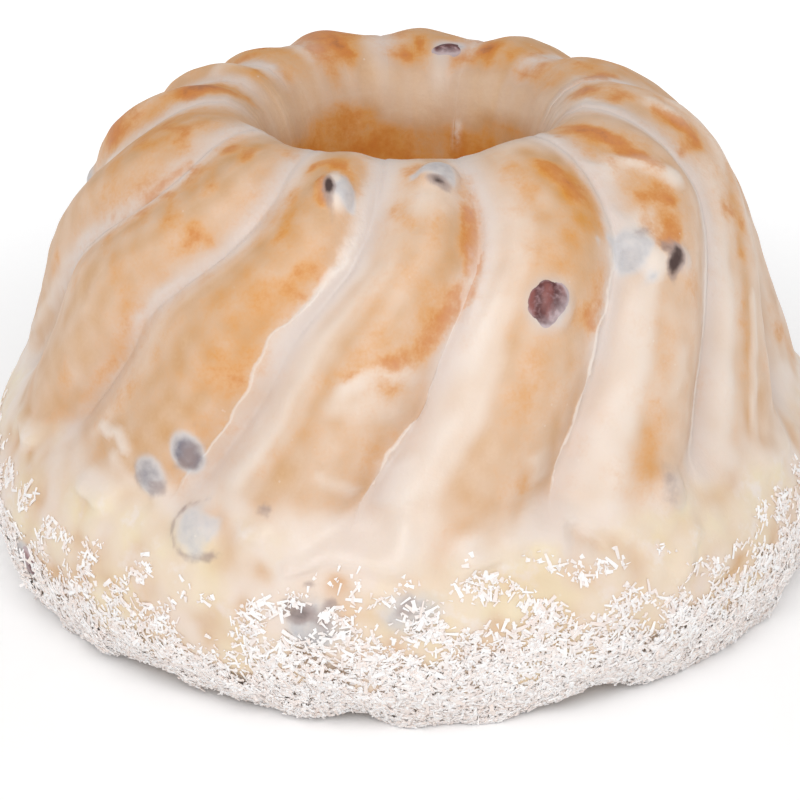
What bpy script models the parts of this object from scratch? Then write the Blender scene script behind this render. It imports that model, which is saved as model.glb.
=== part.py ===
"""Babka: a ring cake of yeast dough, baked in a tin with fourteen swirled flutes.

The cake stands on its flat foot with the crest up, as it is served. Raisins show in its crust, each in a
pocket of its own, and shreds of coconut stick to the band round its foot. The thin sugar glaze follows the
crust and has no solid.

Metres, +Z up. The origin is the middle of the foot, on the axis of the hole. The front is at -Y, and the
azimuth of a thing is how far it lies round from the front, towards +X.
"""

import math

import bmesh
import bpy
import numpy as np
from mathutils import Matrix, Vector
from mathutils.bvhtree import BVHTree

# Driving dimensions
CAKE_RADIUS = 0.0995
CAKE_HEIGHT = 0.1105
CREST_RADIUS = 0.0460
FOOT_RADIUS = 0.0905
HOLE_TOP_RADIUS = 0.0285
HOLE_FOOT_RADIUS = 0.0190

# Flutes, which run down from the hole's lip and swirl round to the left
FLUTES = 14
FLUTE_DEPTH = 0.0080
FIRST_VALLEY = math.radians(18.5)
LOBE_LEAN = 0.09
LOBE_FULLNESS = 0.8
VALLEY_SOFTNESS = 0.05
# How far each valley strays from its even place, in degrees, on the crest and on the wall
VALLEY_STRAY = (
    (-4.0, -0.8),
    (-2.0, -0.3),
    (3.0, -0.3),
    (6.5, 2.0),
    (11.5, 4.0),
    (10.5, 6.0),
    (15.0, 7.0),
    (14.8, 6.0),
    (8.5, 3.0),
    (-1.5, -1.0),
    (-4.5, -5.0),
    (4.0, -3.5),
    (4.0, -1.0),
    (0.5, 1.0),
)
LOBE_UNEVENNESS = 0.0006
# How far the crown of each lobe has risen over the crest, in mm, from the lobe right of the first valley
CROWN_RISE = (1.3, 1.9, 1.6, 1.7, 1.8, 2.3, 1.9, 0.7, 0.3, 0.9, 0.2, 0.0, 0.0, 0.5)

# The middle of the ring's section, about which a station angle is measured: 0 faces out, 90 faces up
SECTION_MIDDLE = (0.057, 0.050)

# Coarseness of the solid
STEPS_PER_FLUTE = 8
VALLEY_CROWDING = 0.3
KNOT_STEPS = {"outside": 2, "hole": 1}

# Raisins: azimuth and station in degrees, then length, width and turn on the crust in mm, mm and degrees
RAISINS = (
    (-15.3, 88.3, 9.5, 8.0, 100.0),
    (7.6, 94.4, 11.0, 8.5, 0.0),
    (21.9, 61.2, 13.0, 11.0, 70.0),
    (48.4, 63.4, 8.5, 7.0, 100.0),
    (42.0, 72.2, 10.0, 8.0, 20.0),
    (-32.6, 9.5, 9.5, 7.0, 115.0),
    (-37.4, -1.5, 9.0, 7.0, 120.0),
    (-28.8, -13.0, 13.0, 12.0, 80.0),
    (-11.3, -27.0, 13.0, 11.0, 40.0),
    (0.2, -23.5, 14.0, 9.5, 10.0),
    (37.4, -6.5, 12.5, 9.0, 95.0),
    (-59.5, -38.0, 12.0, 8.5, 150.0),
    (165.5, 105.5, 9.5, 6.5, 0.0),
    (106.0, 42.0, 11.0, 9.0, 30.0),
    (118.0, -12.0, 12.5, 9.5, 75.0),
    (133.0, 72.0, 10.5, 8.5, 120.0),
    (151.0, 12.0, 12.5, 9.5, 50.0),
    (186.0, 40.0, 11.5, 9.0, 85.0),
    (203.0, -20.0, 12.5, 10.0, 15.0),
    (221.0, 68.0, 11.0, 8.5, 60.0),
    (243.0, 22.0, 12.0, 9.5, 140.0),
    (253.0, 55.0, 10.0, 8.0, 10.0),
)
RAISIN_HEIGHT_SHARE = 0.8
RAISIN_SUNK_SHARE = 0.28
RAISIN_FOLDS = 5
POCKET_GAP = 0.0003

# Coconut shreds: the largest of those that coat the foot's band
SHREDS = 96
SHRED_LENGTH = 0.0046
SHRED_WIDTH = 0.0013
SHRED_THICKNESS = 0.0009
SHRED_LOW_STATION = math.radians(-56.0)
SHRED_HIGH_STATION = math.radians(-19.0)
SHRED_TILT = math.radians(24.0)
SHRED_SEED = 11
GOLDEN_TURN = math.pi * (3 - math.sqrt(5))

CRUST_COLOUR = (0.72, 0.42, 0.20)
RAISIN_COLOUR = (0.13, 0.05, 0.04)


def clear_scene():
    for obj in list(bpy.data.objects):
        bpy.data.objects.remove(obj)


def finish(name, colour, roughness):
    """A material with the piece's own colour."""
    material = bpy.data.materials.new(name)
    material.use_nodes = True
    shader = material.node_tree.nodes["Principled BSDF"]
    shader.inputs["Base Color"].default_value = (*colour, 1.0)
    shader.inputs["Roughness"].default_value = roughness
    shader.inputs["Metallic"].default_value = 0.0
    return material


def eased(value, low, high):
    """0 below low, 1 above high, and a smooth step between them."""
    t = np.clip((value - low) / (high - low), 0.0, 1.0)
    return t * t * (3.0 - 2.0 * t)


def section_knots():
    """(outside, hole): knots of the section, down the outside from the crest, then up the hole to the crest."""
    r, h = CAKE_RADIUS, CAKE_HEIGHT
    outside = [
        (CREST_RADIUS, h),
        (0.545 * r, 0.990 * h),
        (0.645 * r, 0.945 * h),
        (0.733 * r, 0.865 * h),
        (0.813 * r, 0.735 * h),
        (0.872 * r, 0.575 * h),
        (0.936 * r, 0.410 * h),
        (1.000 * r, 0.270 * h),
        (0.990 * r, 0.130 * h),
        (0.945 * r, 0.035 * h),
        (FOOT_RADIUS, 0.0),
    ]
    hole = [
        (HOLE_FOOT_RADIUS, 0.0),
        (0.5 * (HOLE_FOOT_RADIUS + HOLE_TOP_RADIUS), 0.40 * h),
        (HOLE_TOP_RADIUS, 0.72 * h),
        (1.09 * HOLE_TOP_RADIUS, 0.86 * h),
        (1.23 * HOLE_TOP_RADIUS, 0.945 * h),
        (0.5 * (1.23 * HOLE_TOP_RADIUS + CREST_RADIUS), 0.988 * h),
    ]
    return outside, hole


def curve_through(knots, before, after, steps):
    """Points of a Catmull-Rom curve through knots, with the neighbours before and after them."""
    p = np.array([before, *knots, after], float)
    t = np.arange(steps)[:, None] / steps
    stretches = []
    for a, b, c, d in zip(p, p[1:], p[2:], p[3:]):
        stretches.append(0.5 * (2 * b + (c - a) * t + (2 * a - 5 * b + 4 * c - d) * t**2 + (3 * b - a - 3 * c + d) * t**3))
    return np.vstack([*stretches, p[-2:-1]])


def section_outline():
    """The closed section, as (radius, height) down the outside and up the hole."""
    outside, hole = section_knots()
    foot_out, foot_in = (FOOT_RADIUS - 0.01, 0.0), (HOLE_FOOT_RADIUS, -0.01)
    wall = curve_through(outside, hole[-1], foot_out, KNOT_STEPS["outside"])
    bore = curve_through([*hole, outside[0]], foot_in, outside[1], KNOT_STEPS["hole"])
    return np.vstack([wall, bore[:-1]])


def turned_ring(name, outline, steps):
    """The mesh of a section turned round Z with a Screw modifier."""
    mesh = bpy.data.meshes.new(name + "_section")
    count = len(outline)
    edges = [(i, (i + 1) % count) for i in range(count)]
    mesh.from_pydata([(r, 0.0, z) for r, z in outline], edges, [])
    section = bpy.data.objects.new(name + "_section", mesh)
    bpy.context.scene.collection.objects.link(section)
    screw = section.modifiers.new("turn", "SCREW")
    screw.steps = screw.render_steps = steps
    screw.use_merge_vertices = True
    screw.merge_threshold = 1e-5
    bpy.context.view_layer.update()
    turned = bpy.data.meshes.new_from_object(section.evaluated_get(bpy.context.evaluated_depsgraph_get()))
    bpy.data.objects.remove(section)
    turned.name = name
    return turned


def flute_depth(station):
    """How deep the valleys are at a station: none in the hole, full on the crest and wall, none on the foot's band."""
    degrees = np.degrees(station)
    return FLUTE_DEPTH * (1.0 - eased(degrees, 80.0, 114.0)) * eased(degrees, -21.0, 0.0)


def swirl(station):
    """How far round the flutes have turned at a station: a bend over the shoulder, then steadily."""
    degrees = np.degrees(station)
    return np.radians(-8.5 * eased(92.0 - degrees, 0.0, 40.0) - 0.2 * np.clip(75.0 - degrees, 0.0, 95.0))


def stray(even, station):
    """How far a flute line strays from its even azimuth, eased from valley to valley and down from the crest."""
    place = ((even - FIRST_VALLEY) / (2 * math.pi) * FLUTES) % FLUTES
    low = np.floor(place).astype(int) % FLUTES
    share = eased(place - np.floor(place), 0.0, 1.0)
    on_crest, on_wall = np.radians(np.array(VALLEY_STRAY)).T
    up = eased(np.degrees(station), 50.0, 88.0)
    high = (low + 1) % FLUTES
    at_low = on_crest[low] * up + on_wall[low] * (1 - up)
    at_high = on_crest[high] * up + on_wall[high] * (1 - up)
    return at_low * (1 - share) + at_high * share


def lobe(even):
    """The height of a lobe between its valleys, from 0 to 1, with its crown leaning to the right."""
    t = ((even - FIRST_VALLEY) / (2 * math.pi) * FLUTES) % 1.0
    leaning = t - LOBE_LEAN * np.sin(math.pi * t) ** 2
    rise = np.sin(math.pi * leaning) ** 2
    return ((rise + VALLEY_SOFTNESS**2) / (1 + VALLEY_SOFTNESS**2)) ** (LOBE_FULLNESS / 2)


def crown_rise(even, station):
    """How far the crowns have risen, in metres: most on the crest, and eased from lobe to lobe."""
    place = ((even - FIRST_VALLEY) / (2 * math.pi) * FLUTES - 0.5) % FLUTES
    low = np.floor(place).astype(int) % FLUTES
    share = eased(place - np.floor(place), 0.0, 1.0)
    rise = np.array(CROWN_RISE) / 1000
    degrees = np.degrees(station)
    over_crest = eased(degrees, 35.0, 80.0) * (1 - eased(degrees, 100.0, 130.0))
    return (rise[low] * (1 - share) + rise[(low + 1) % FLUTES] * share) * over_crest


def unevenness(even, station):
    """Slow hand-made swelling of the dough, in metres."""
    wide = np.sin(3 * even + 0.7) * np.cos(1.5 * station + 0.4)
    mid = np.sin(7 * even + 2 * station) * 0.6
    each = np.sin(11 * even - station + 1.9) * 0.5
    return LOBE_UNEVENNESS * (wide + mid + each)


def shape_flutes(mesh):
    """Presses the swirled flutes into the turned ring, each point moved towards the middle of the section."""
    points = np.empty(len(mesh.vertices) * 3)
    mesh.vertices.foreach_get("co", points)
    points = points.reshape(-1, 3)
    radius, height = np.hypot(points[:, 0], points[:, 1]), points[:, 2]
    turned = np.arctan2(points[:, 0], -points[:, 1])
    even = FIRST_VALLEY + turned - VALLEY_CROWDING * np.sin(FLUTES * turned) / FLUTES
    out, up = radius - SECTION_MIDDLE[0], height - SECTION_MIDDLE[1]
    station = np.arctan2(up, out)
    reach = np.hypot(out, up)
    above_foot = eased(height, 0.0, 0.012)
    raised = crown_rise(even, station) + unevenness(even, station) * above_foot
    reach = reach + raised - flute_depth(station) * (1 - lobe(even))
    azimuth = even + stray(even, station) + swirl(station)
    radius = SECTION_MIDDLE[0] + reach * np.cos(station)
    height = SECTION_MIDDLE[1] + reach * np.sin(station)
    moved = np.stack([radius * np.sin(azimuth), -radius * np.cos(azimuth), height], axis=1)
    mesh.vertices.foreach_set("co", moved.ravel())
    mesh.update()


def triangulate(mesh):
    """Splits the faces into triangles, so that no bent quad is read in two ways."""
    shape = bmesh.new()
    shape.from_mesh(mesh)
    bmesh.ops.triangulate(shape, faces=shape.faces)
    shape.to_mesh(mesh)
    shape.free()


def make_cake(collection, crust):
    mesh = turned_ring("cake", section_outline(), FLUTES * STEPS_PER_FLUTE)
    shape_flutes(mesh)
    triangulate(mesh)
    mesh.materials.append(crust)
    mesh.shade_smooth()
    cake = bpy.data.objects.new("cake", mesh)
    collection.objects.link(cake)
    return cake


def place_on(skin, azimuth, station):
    """(point, outward normal) where the ray of this azimuth and station leaves the cake."""
    outward = Vector((math.sin(azimuth), -math.cos(azimuth), 0.0))
    middle = outward * SECTION_MIDDLE[0] + Vector((0.0, 0.0, SECTION_MIDDLE[1]))
    ray = outward * math.cos(station) + Vector((0.0, 0.0, math.sin(station)))
    point, normal, _, _ = skin.ray_cast(middle + ray * CAKE_HEIGHT, -ray)
    return point, normal


def lying_on(point, normal, turn):
    """The matrix of a thing that lies on the crust there, its length turned from the level line."""
    level = Vector((0.0, 0.0, 1.0)).cross(normal).normalized()
    along = Matrix.Rotation(turn, 3, normal) @ level
    across = normal.cross(along)
    frame = Matrix((along, across, normal)).transposed()
    return Matrix.Translation(point) @ frame.to_4x4()


def raisin_mesh(name, length, width, height, grown):
    """A wrinkled raisin: an ellipsoid with folds along it. grown makes the same shape larger all round."""
    mesh = bpy.data.meshes.new(name)
    shape = bmesh.new()
    bmesh.ops.create_uvsphere(shape, u_segments=8, v_segments=6, radius=1.0)
    half = Vector((length, width, height)) / 2
    for vertex in shape.verts:
        around = math.atan2(vertex.co.y, vertex.co.z)
        slim = 1.0 - vertex.co.x**2
        fold = 1.0 + 0.07 * slim * math.cos(RAISIN_FOLDS * around + 2.0 * vertex.co.x)
        vertex.co = Vector(c * (h * fold + grown) for c, h in zip(vertex.co, half))
    bmesh.ops.triangulate(shape, faces=shape.faces)
    bmesh.ops.recalc_face_normals(shape, faces=shape.faces)
    shape.to_mesh(mesh)
    shape.free()
    return mesh


def cut(target, cutter):
    """Cuts cutter from target with an applied Boolean, and removes it."""
    modifier = target.modifiers.new("cut", "BOOLEAN")
    modifier.operation = "DIFFERENCE"
    modifier.solver = "EXACT"
    modifier.object = cutter
    apply_boolean(target, modifier)
    bpy.data.objects.remove(cutter)


def apply_boolean(target, modifier):
    bpy.context.view_layer.update()
    made = bpy.data.meshes.new_from_object(target.evaluated_get(bpy.context.evaluated_depsgraph_get()))
    target.modifiers.remove(modifier)
    old = target.data
    target.data = made
    made.name = target.name
    bpy.data.meshes.remove(old)


def raisin_seats(skin):
    """[(name, seat matrix, length, width, height)] of every raisin, sunk a little under the crust."""
    seats = []
    for number, (azimuth, station, length, width, turn) in enumerate(RAISINS, 1):
        point, normal = place_on(skin, math.radians(azimuth), math.radians(station))
        length, width = length / 1000, width / 1000
        height = width * RAISIN_HEIGHT_SHARE
        seat = lying_on(point - normal * height * RAISIN_SUNK_SHARE, normal, math.radians(turn))
        seats.append((f"raisin_{number:02d}", seat, length, width, height))
    return seats


def make_raisins(collection, cutters, cake, seats, flesh):
    """Seats the raisins and cuts a pocket for each."""
    for name, seat, length, width, height in seats:
        raisin = bpy.data.objects.new(name, raisin_mesh(name, length, width, height, 0.0))
        raisin.matrix_world = seat
        raisin.data.materials.append(flesh)
        raisin.data.shade_smooth()
        collection.objects.link(raisin)
        pocket_mesh = raisin_mesh(name + "_pocket", length, width, height, POCKET_GAP)
        pocket = bpy.data.objects.new(name + "_pocket", pocket_mesh)
        pocket.matrix_world = seat
        pocket.hide_render = True
        pocket.display_type = "WIRE"
        cutters.objects.link(pocket)
        cut(cake, pocket)


def shred_mesh(name, length, width, thickness):
    """A shred of coconut: a thin bar that narrows to one end."""
    mesh = bpy.data.meshes.new(name)
    shape = bmesh.new()
    bmesh.ops.create_cube(shape, size=1.0)
    for vertex in shape.verts:
        narrowing = 0.8 - 0.4 * vertex.co.x
        vertex.co = Vector((vertex.co.x * length, vertex.co.y * width * narrowing, vertex.co.z * thickness))
    shape.to_mesh(mesh)
    shape.free()
    return mesh


def make_shreds(cake, skin, seats):
    """Fuses the coconut shreds to the cake, spread round the foot's band and denser low down."""
    draw = np.random.default_rng(SHRED_SEED)
    shreds = bpy.data.collections.new("shreds")
    bpy.context.scene.collection.children.link(shreds)
    for number in range(SHREDS):
        share = (number + 0.5) / SHREDS
        low = draw.random() ** 1.6
        station = SHRED_LOW_STATION + (SHRED_HIGH_STATION - SHRED_LOW_STATION) * low
        azimuth = number * GOLDEN_TURN
        length = SHRED_LENGTH * (1.15 - 0.4 * share)
        point, normal = place_on(skin, azimuth, station)
        turn, tilt = draw.uniform(0, math.pi), draw.uniform(-SHRED_TILT, SHRED_TILT)
        seat = lying_on(point + normal * 0.2 * SHRED_THICKNESS, normal, turn) @ Matrix.Rotation(tilt, 4, "Y")
        corners = [seat @ Vector((x * length / 2, 0.0, -SHRED_THICKNESS)) for x in (-1, 1)]
        near_raisin = any((point - at.to_translation()).length < 0.5 * long + 0.8 * length for _, at, long, *_ in seats)
        if near_raisin or min(corner.z for corner in corners) < SHRED_WIDTH:
            continue
        mesh = shred_mesh(f"shred_{number:03d}", length, SHRED_WIDTH, SHRED_THICKNESS)
        shred = bpy.data.objects.new(mesh.name, mesh)
        shred.matrix_world = seat
        shreds.objects.link(shred)
    join = cake.modifiers.new("join", "BOOLEAN")
    join.operation = "UNION"
    join.operand_type = "COLLECTION"
    join.collection = shreds
    join.solver = "EXACT"
    apply_boolean(cake, join)
    for obj in list(shreds.objects):
        bpy.data.objects.remove(obj)
    bpy.data.collections.remove(shreds)


def main():
    clear_scene()
    collection = bpy.data.collections.new("babka")
    cutters = bpy.data.collections.new("cutters")
    bpy.context.scene.collection.children.link(collection)
    bpy.context.scene.collection.children.link(cutters)
    crust = finish("crust", CRUST_COLOUR, 0.45)
    flesh = finish("raisin_flesh", RAISIN_COLOUR, 0.5)
    cake = make_cake(collection, crust)
    bpy.context.view_layer.update()
    skin = BVHTree.FromObject(cake, bpy.context.evaluated_depsgraph_get())
    seats = raisin_seats(skin)
    make_shreds(cake, skin, seats)
    make_raisins(collection, cutters, cake, seats, flesh)


if __name__ == "__main__":
    main()
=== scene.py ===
"""Babka: the dressed part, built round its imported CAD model.

An uncut ring cake of yeast dough with fourteen swirled flutes, a thin sugar glaze, raisins in its crust and
desiccated coconut round its foot. Metres, +Z up, the front at -Y. The origin is the middle of the foot.
"""

import functools
import math
from types import SimpleNamespace

import bpy
import numpy as np
from bpy.props import FloatProperty, FloatVectorProperty, IntProperty, PointerProperty
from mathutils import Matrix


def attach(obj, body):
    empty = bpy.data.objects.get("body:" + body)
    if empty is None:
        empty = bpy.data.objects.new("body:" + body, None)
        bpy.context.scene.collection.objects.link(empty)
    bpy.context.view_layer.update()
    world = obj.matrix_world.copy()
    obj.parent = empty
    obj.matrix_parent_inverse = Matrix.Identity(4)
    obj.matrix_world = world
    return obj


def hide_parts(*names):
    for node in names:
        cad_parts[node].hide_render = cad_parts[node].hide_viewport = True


bl_info = {
    "name": "Babka",
    "version": (1, 0, 0),
    "blender": (4, 5, 0),
    "location": "3D View > Sidebar > Babka",
    "description": "Builds a glazed ring babka with raisins and coconut",
    "category": "Add Mesh",
}

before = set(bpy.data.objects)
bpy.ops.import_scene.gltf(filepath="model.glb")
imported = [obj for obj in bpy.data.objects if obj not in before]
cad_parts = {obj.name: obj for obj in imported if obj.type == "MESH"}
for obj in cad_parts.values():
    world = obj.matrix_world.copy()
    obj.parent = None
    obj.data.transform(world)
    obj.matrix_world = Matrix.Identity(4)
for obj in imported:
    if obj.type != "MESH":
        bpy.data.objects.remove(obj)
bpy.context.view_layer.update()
RAISIN_NODES = sorted(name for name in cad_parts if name.startswith("raisin_"))
BODY = "root"
MM = 0.001
TURN = 2 * math.pi

# The cake's section and flutes, as in the CAD
CAKE_RADIUS = 0.0995
CAKE_HEIGHT = 0.1105
CREST_RADIUS = 0.0460
FOOT_RADIUS = 0.0905
HOLE_TOP_RADIUS = 0.0285
HOLE_FOOT_RADIUS = 0.0190
# Knots of the wall below the crest, in shares of the radius and the height
WALL_KNOTS = (
    (0.545, 0.990), (0.645, 0.945), (0.733, 0.865), (0.813, 0.735), (0.872, 0.575),
    (0.936, 0.410), (1.000, 0.270), (0.990, 0.130), (0.945, 0.035),
)
# The middle of the section. A station is the angle about it in degrees: 0 is level on the wall, 90 is up on
# the crest, the hole is above that, and the foot below 0
SECTION_MIDDLE = (0.057, 0.050)
FLUTES = 14
FLUTE_DEPTH = 0.0080
FIRST_VALLEY = math.radians(18.5)
LOBE_LEAN = 0.09
LOBE_FULLNESS = 0.8
LOBE_UNEVENNESS = 0.0006
VALLEY_SOFTNESS = 0.05
# How far each valley strays from its even place, in degrees on the crest and on the wall
VALLEY_STRAY = (
    (-4.0, -0.8), (-2.0, -0.3), (3.0, -0.3), (6.5, 2.0), (11.5, 4.0), (10.5, 6.0), (15.0, 7.0),
    (14.8, 6.0), (8.5, 3.0), (-1.5, -1.0), (-4.5, -5.0), (4.0, -3.5), (4.0, -1.0), (0.5, 1.0),
)
# How far each lobe's crown has risen, in mm
CROWN_RISE = (1.3, 1.9, 1.6, 1.7, 1.8, 2.3, 1.9, 0.7, 0.3, 0.9, 0.2, 0.0, 0.0, 0.5)
# Length of a degree of station on the crust, in mm
DEGREE_LENGTH = 0.95

# The grid of the glazed crust. Its columns crowd at RIM_PLACE in each flute, near the glaze's crisp edge
COLUMNS_PER_FLUTE = 44
WALL_ROWS = 129
BASE_ROWS = 3
BORE_ROWS = 27
FIRST_BORE = WALL_ROWS + BASE_ROWS
RIM_PLACE = 0.95
RIM_CROWDING = 0.32

# How thick the glaze lies across each lobe, from 0 for bare crust to 1 for white: one row a lobe from the
# first valley on, with a value at each of these shares of the way from its left valley to its right one
ACROSS = (0.0, 0.1, 0.2, 0.3, 0.42, 0.6, 0.8, 1.0)
GLAZE_ON_WALL = (
    (0.95, 1.10, 1.20, 0.80, 0.30, 0.26, 0.28, 0.35),
    (0.85, 0.85, 0.95, 0.95, 0.40, 0.40, 0.38, 0.42),
    (0.80, 1.00, 1.05, 0.50, 0.22, 0.50, 0.50, 0.55),
    (0.70, 0.65, 0.60, 0.40, 0.30, 0.30, 0.40, 0.50),
    (0.60, 0.80, 0.90, 0.60, 0.30, 0.28, 0.30, 0.35),
    (0.80, 0.85, 0.70, 0.35, 0.22, 0.30, 0.35, 0.40),
    (0.70, 0.90, 1.05, 0.90, 0.45, 0.30, 0.30, 0.35),
    (0.85, 0.80, 0.60, 0.30, 0.25, 0.28, 0.35, 0.40),
    (0.60, 0.70, 0.80, 0.50, 0.25, 0.25, 0.30, 0.40),
    (0.55, 0.50, 0.40, 0.30, 0.25, 0.30, 0.35, 0.45),
    (0.50, 0.40, 0.30, 0.25, 0.25, 0.28, 0.30, 0.40),
    (0.45, 0.38, 0.30, 0.26, 0.24, 0.26, 0.26, 0.32),
    (0.42, 0.44, 0.40, 0.26, 0.18, 0.20, 0.20, 0.25),
    (0.72, 0.80, 0.98, 0.50, 0.22, 0.32, 0.30, 0.30),
)
GLAZE_ON_CREST = (
    (0.45, 0.60, 0.62, 0.48, 0.26, 0.16, 0.14, 0.20),
    (0.50, 0.42, 0.30, 0.22, 0.18, 0.28, 0.34, 0.44),
    (0.50, 0.42, 0.30, 0.22, 0.24, 0.32, 0.30, 0.35),
    (0.65, 0.55, 0.35, 0.22, 0.24, 0.36, 0.44, 0.50),
    (0.55, 0.45, 0.30, 0.20, 0.20, 0.30, 0.35, 0.45),
    (0.70, 0.55, 0.30, 0.22, 0.20, 0.26, 0.40, 0.60),
    (0.90, 0.60, 0.30, 0.20, 0.20, 0.26, 0.40, 0.50),
    (0.50, 0.40, 0.28, 0.20, 0.20, 0.26, 0.34, 0.50),
    (0.60, 0.55, 0.40, 0.25, 0.20, 0.30, 0.40, 0.50),
    (0.55, 0.45, 0.30, 0.20, 0.20, 0.25, 0.30, 0.40),
    (0.55, 0.45, 0.30, 0.22, 0.18, 0.22, 0.34, 0.50),
    (0.60, 0.45, 0.30, 0.22, 0.20, 0.24, 0.28, 0.35),
    (0.38, 0.38, 0.30, 0.22, 0.18, 0.18, 0.22, 0.30),
    (0.68, 0.64, 0.54, 0.44, 0.34, 0.24, 0.18, 0.18),
)
# The same on the edge of the hole, where it is even
HOLE_GLAZE = 0.34
# The share of each lobe at which the glaze of the valley at its right begins, with a crisp edge
RIM_AT = (0.985, 0.97, 0.95, 0.93, 0.95, 0.93, 0.96, 0.92, 0.94, 0.93, 0.95, 0.955, 0.905, 0.995)
# Half the width of that edge on the wall, in mm
RIM_SOFTNESS = (0.5, 0.7, 0.7, 0.6, 1.4, 0.5, 1.0, 0.6, 1.5, 0.7, 1.8, 2.2, 0.5, 0.5)

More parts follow.
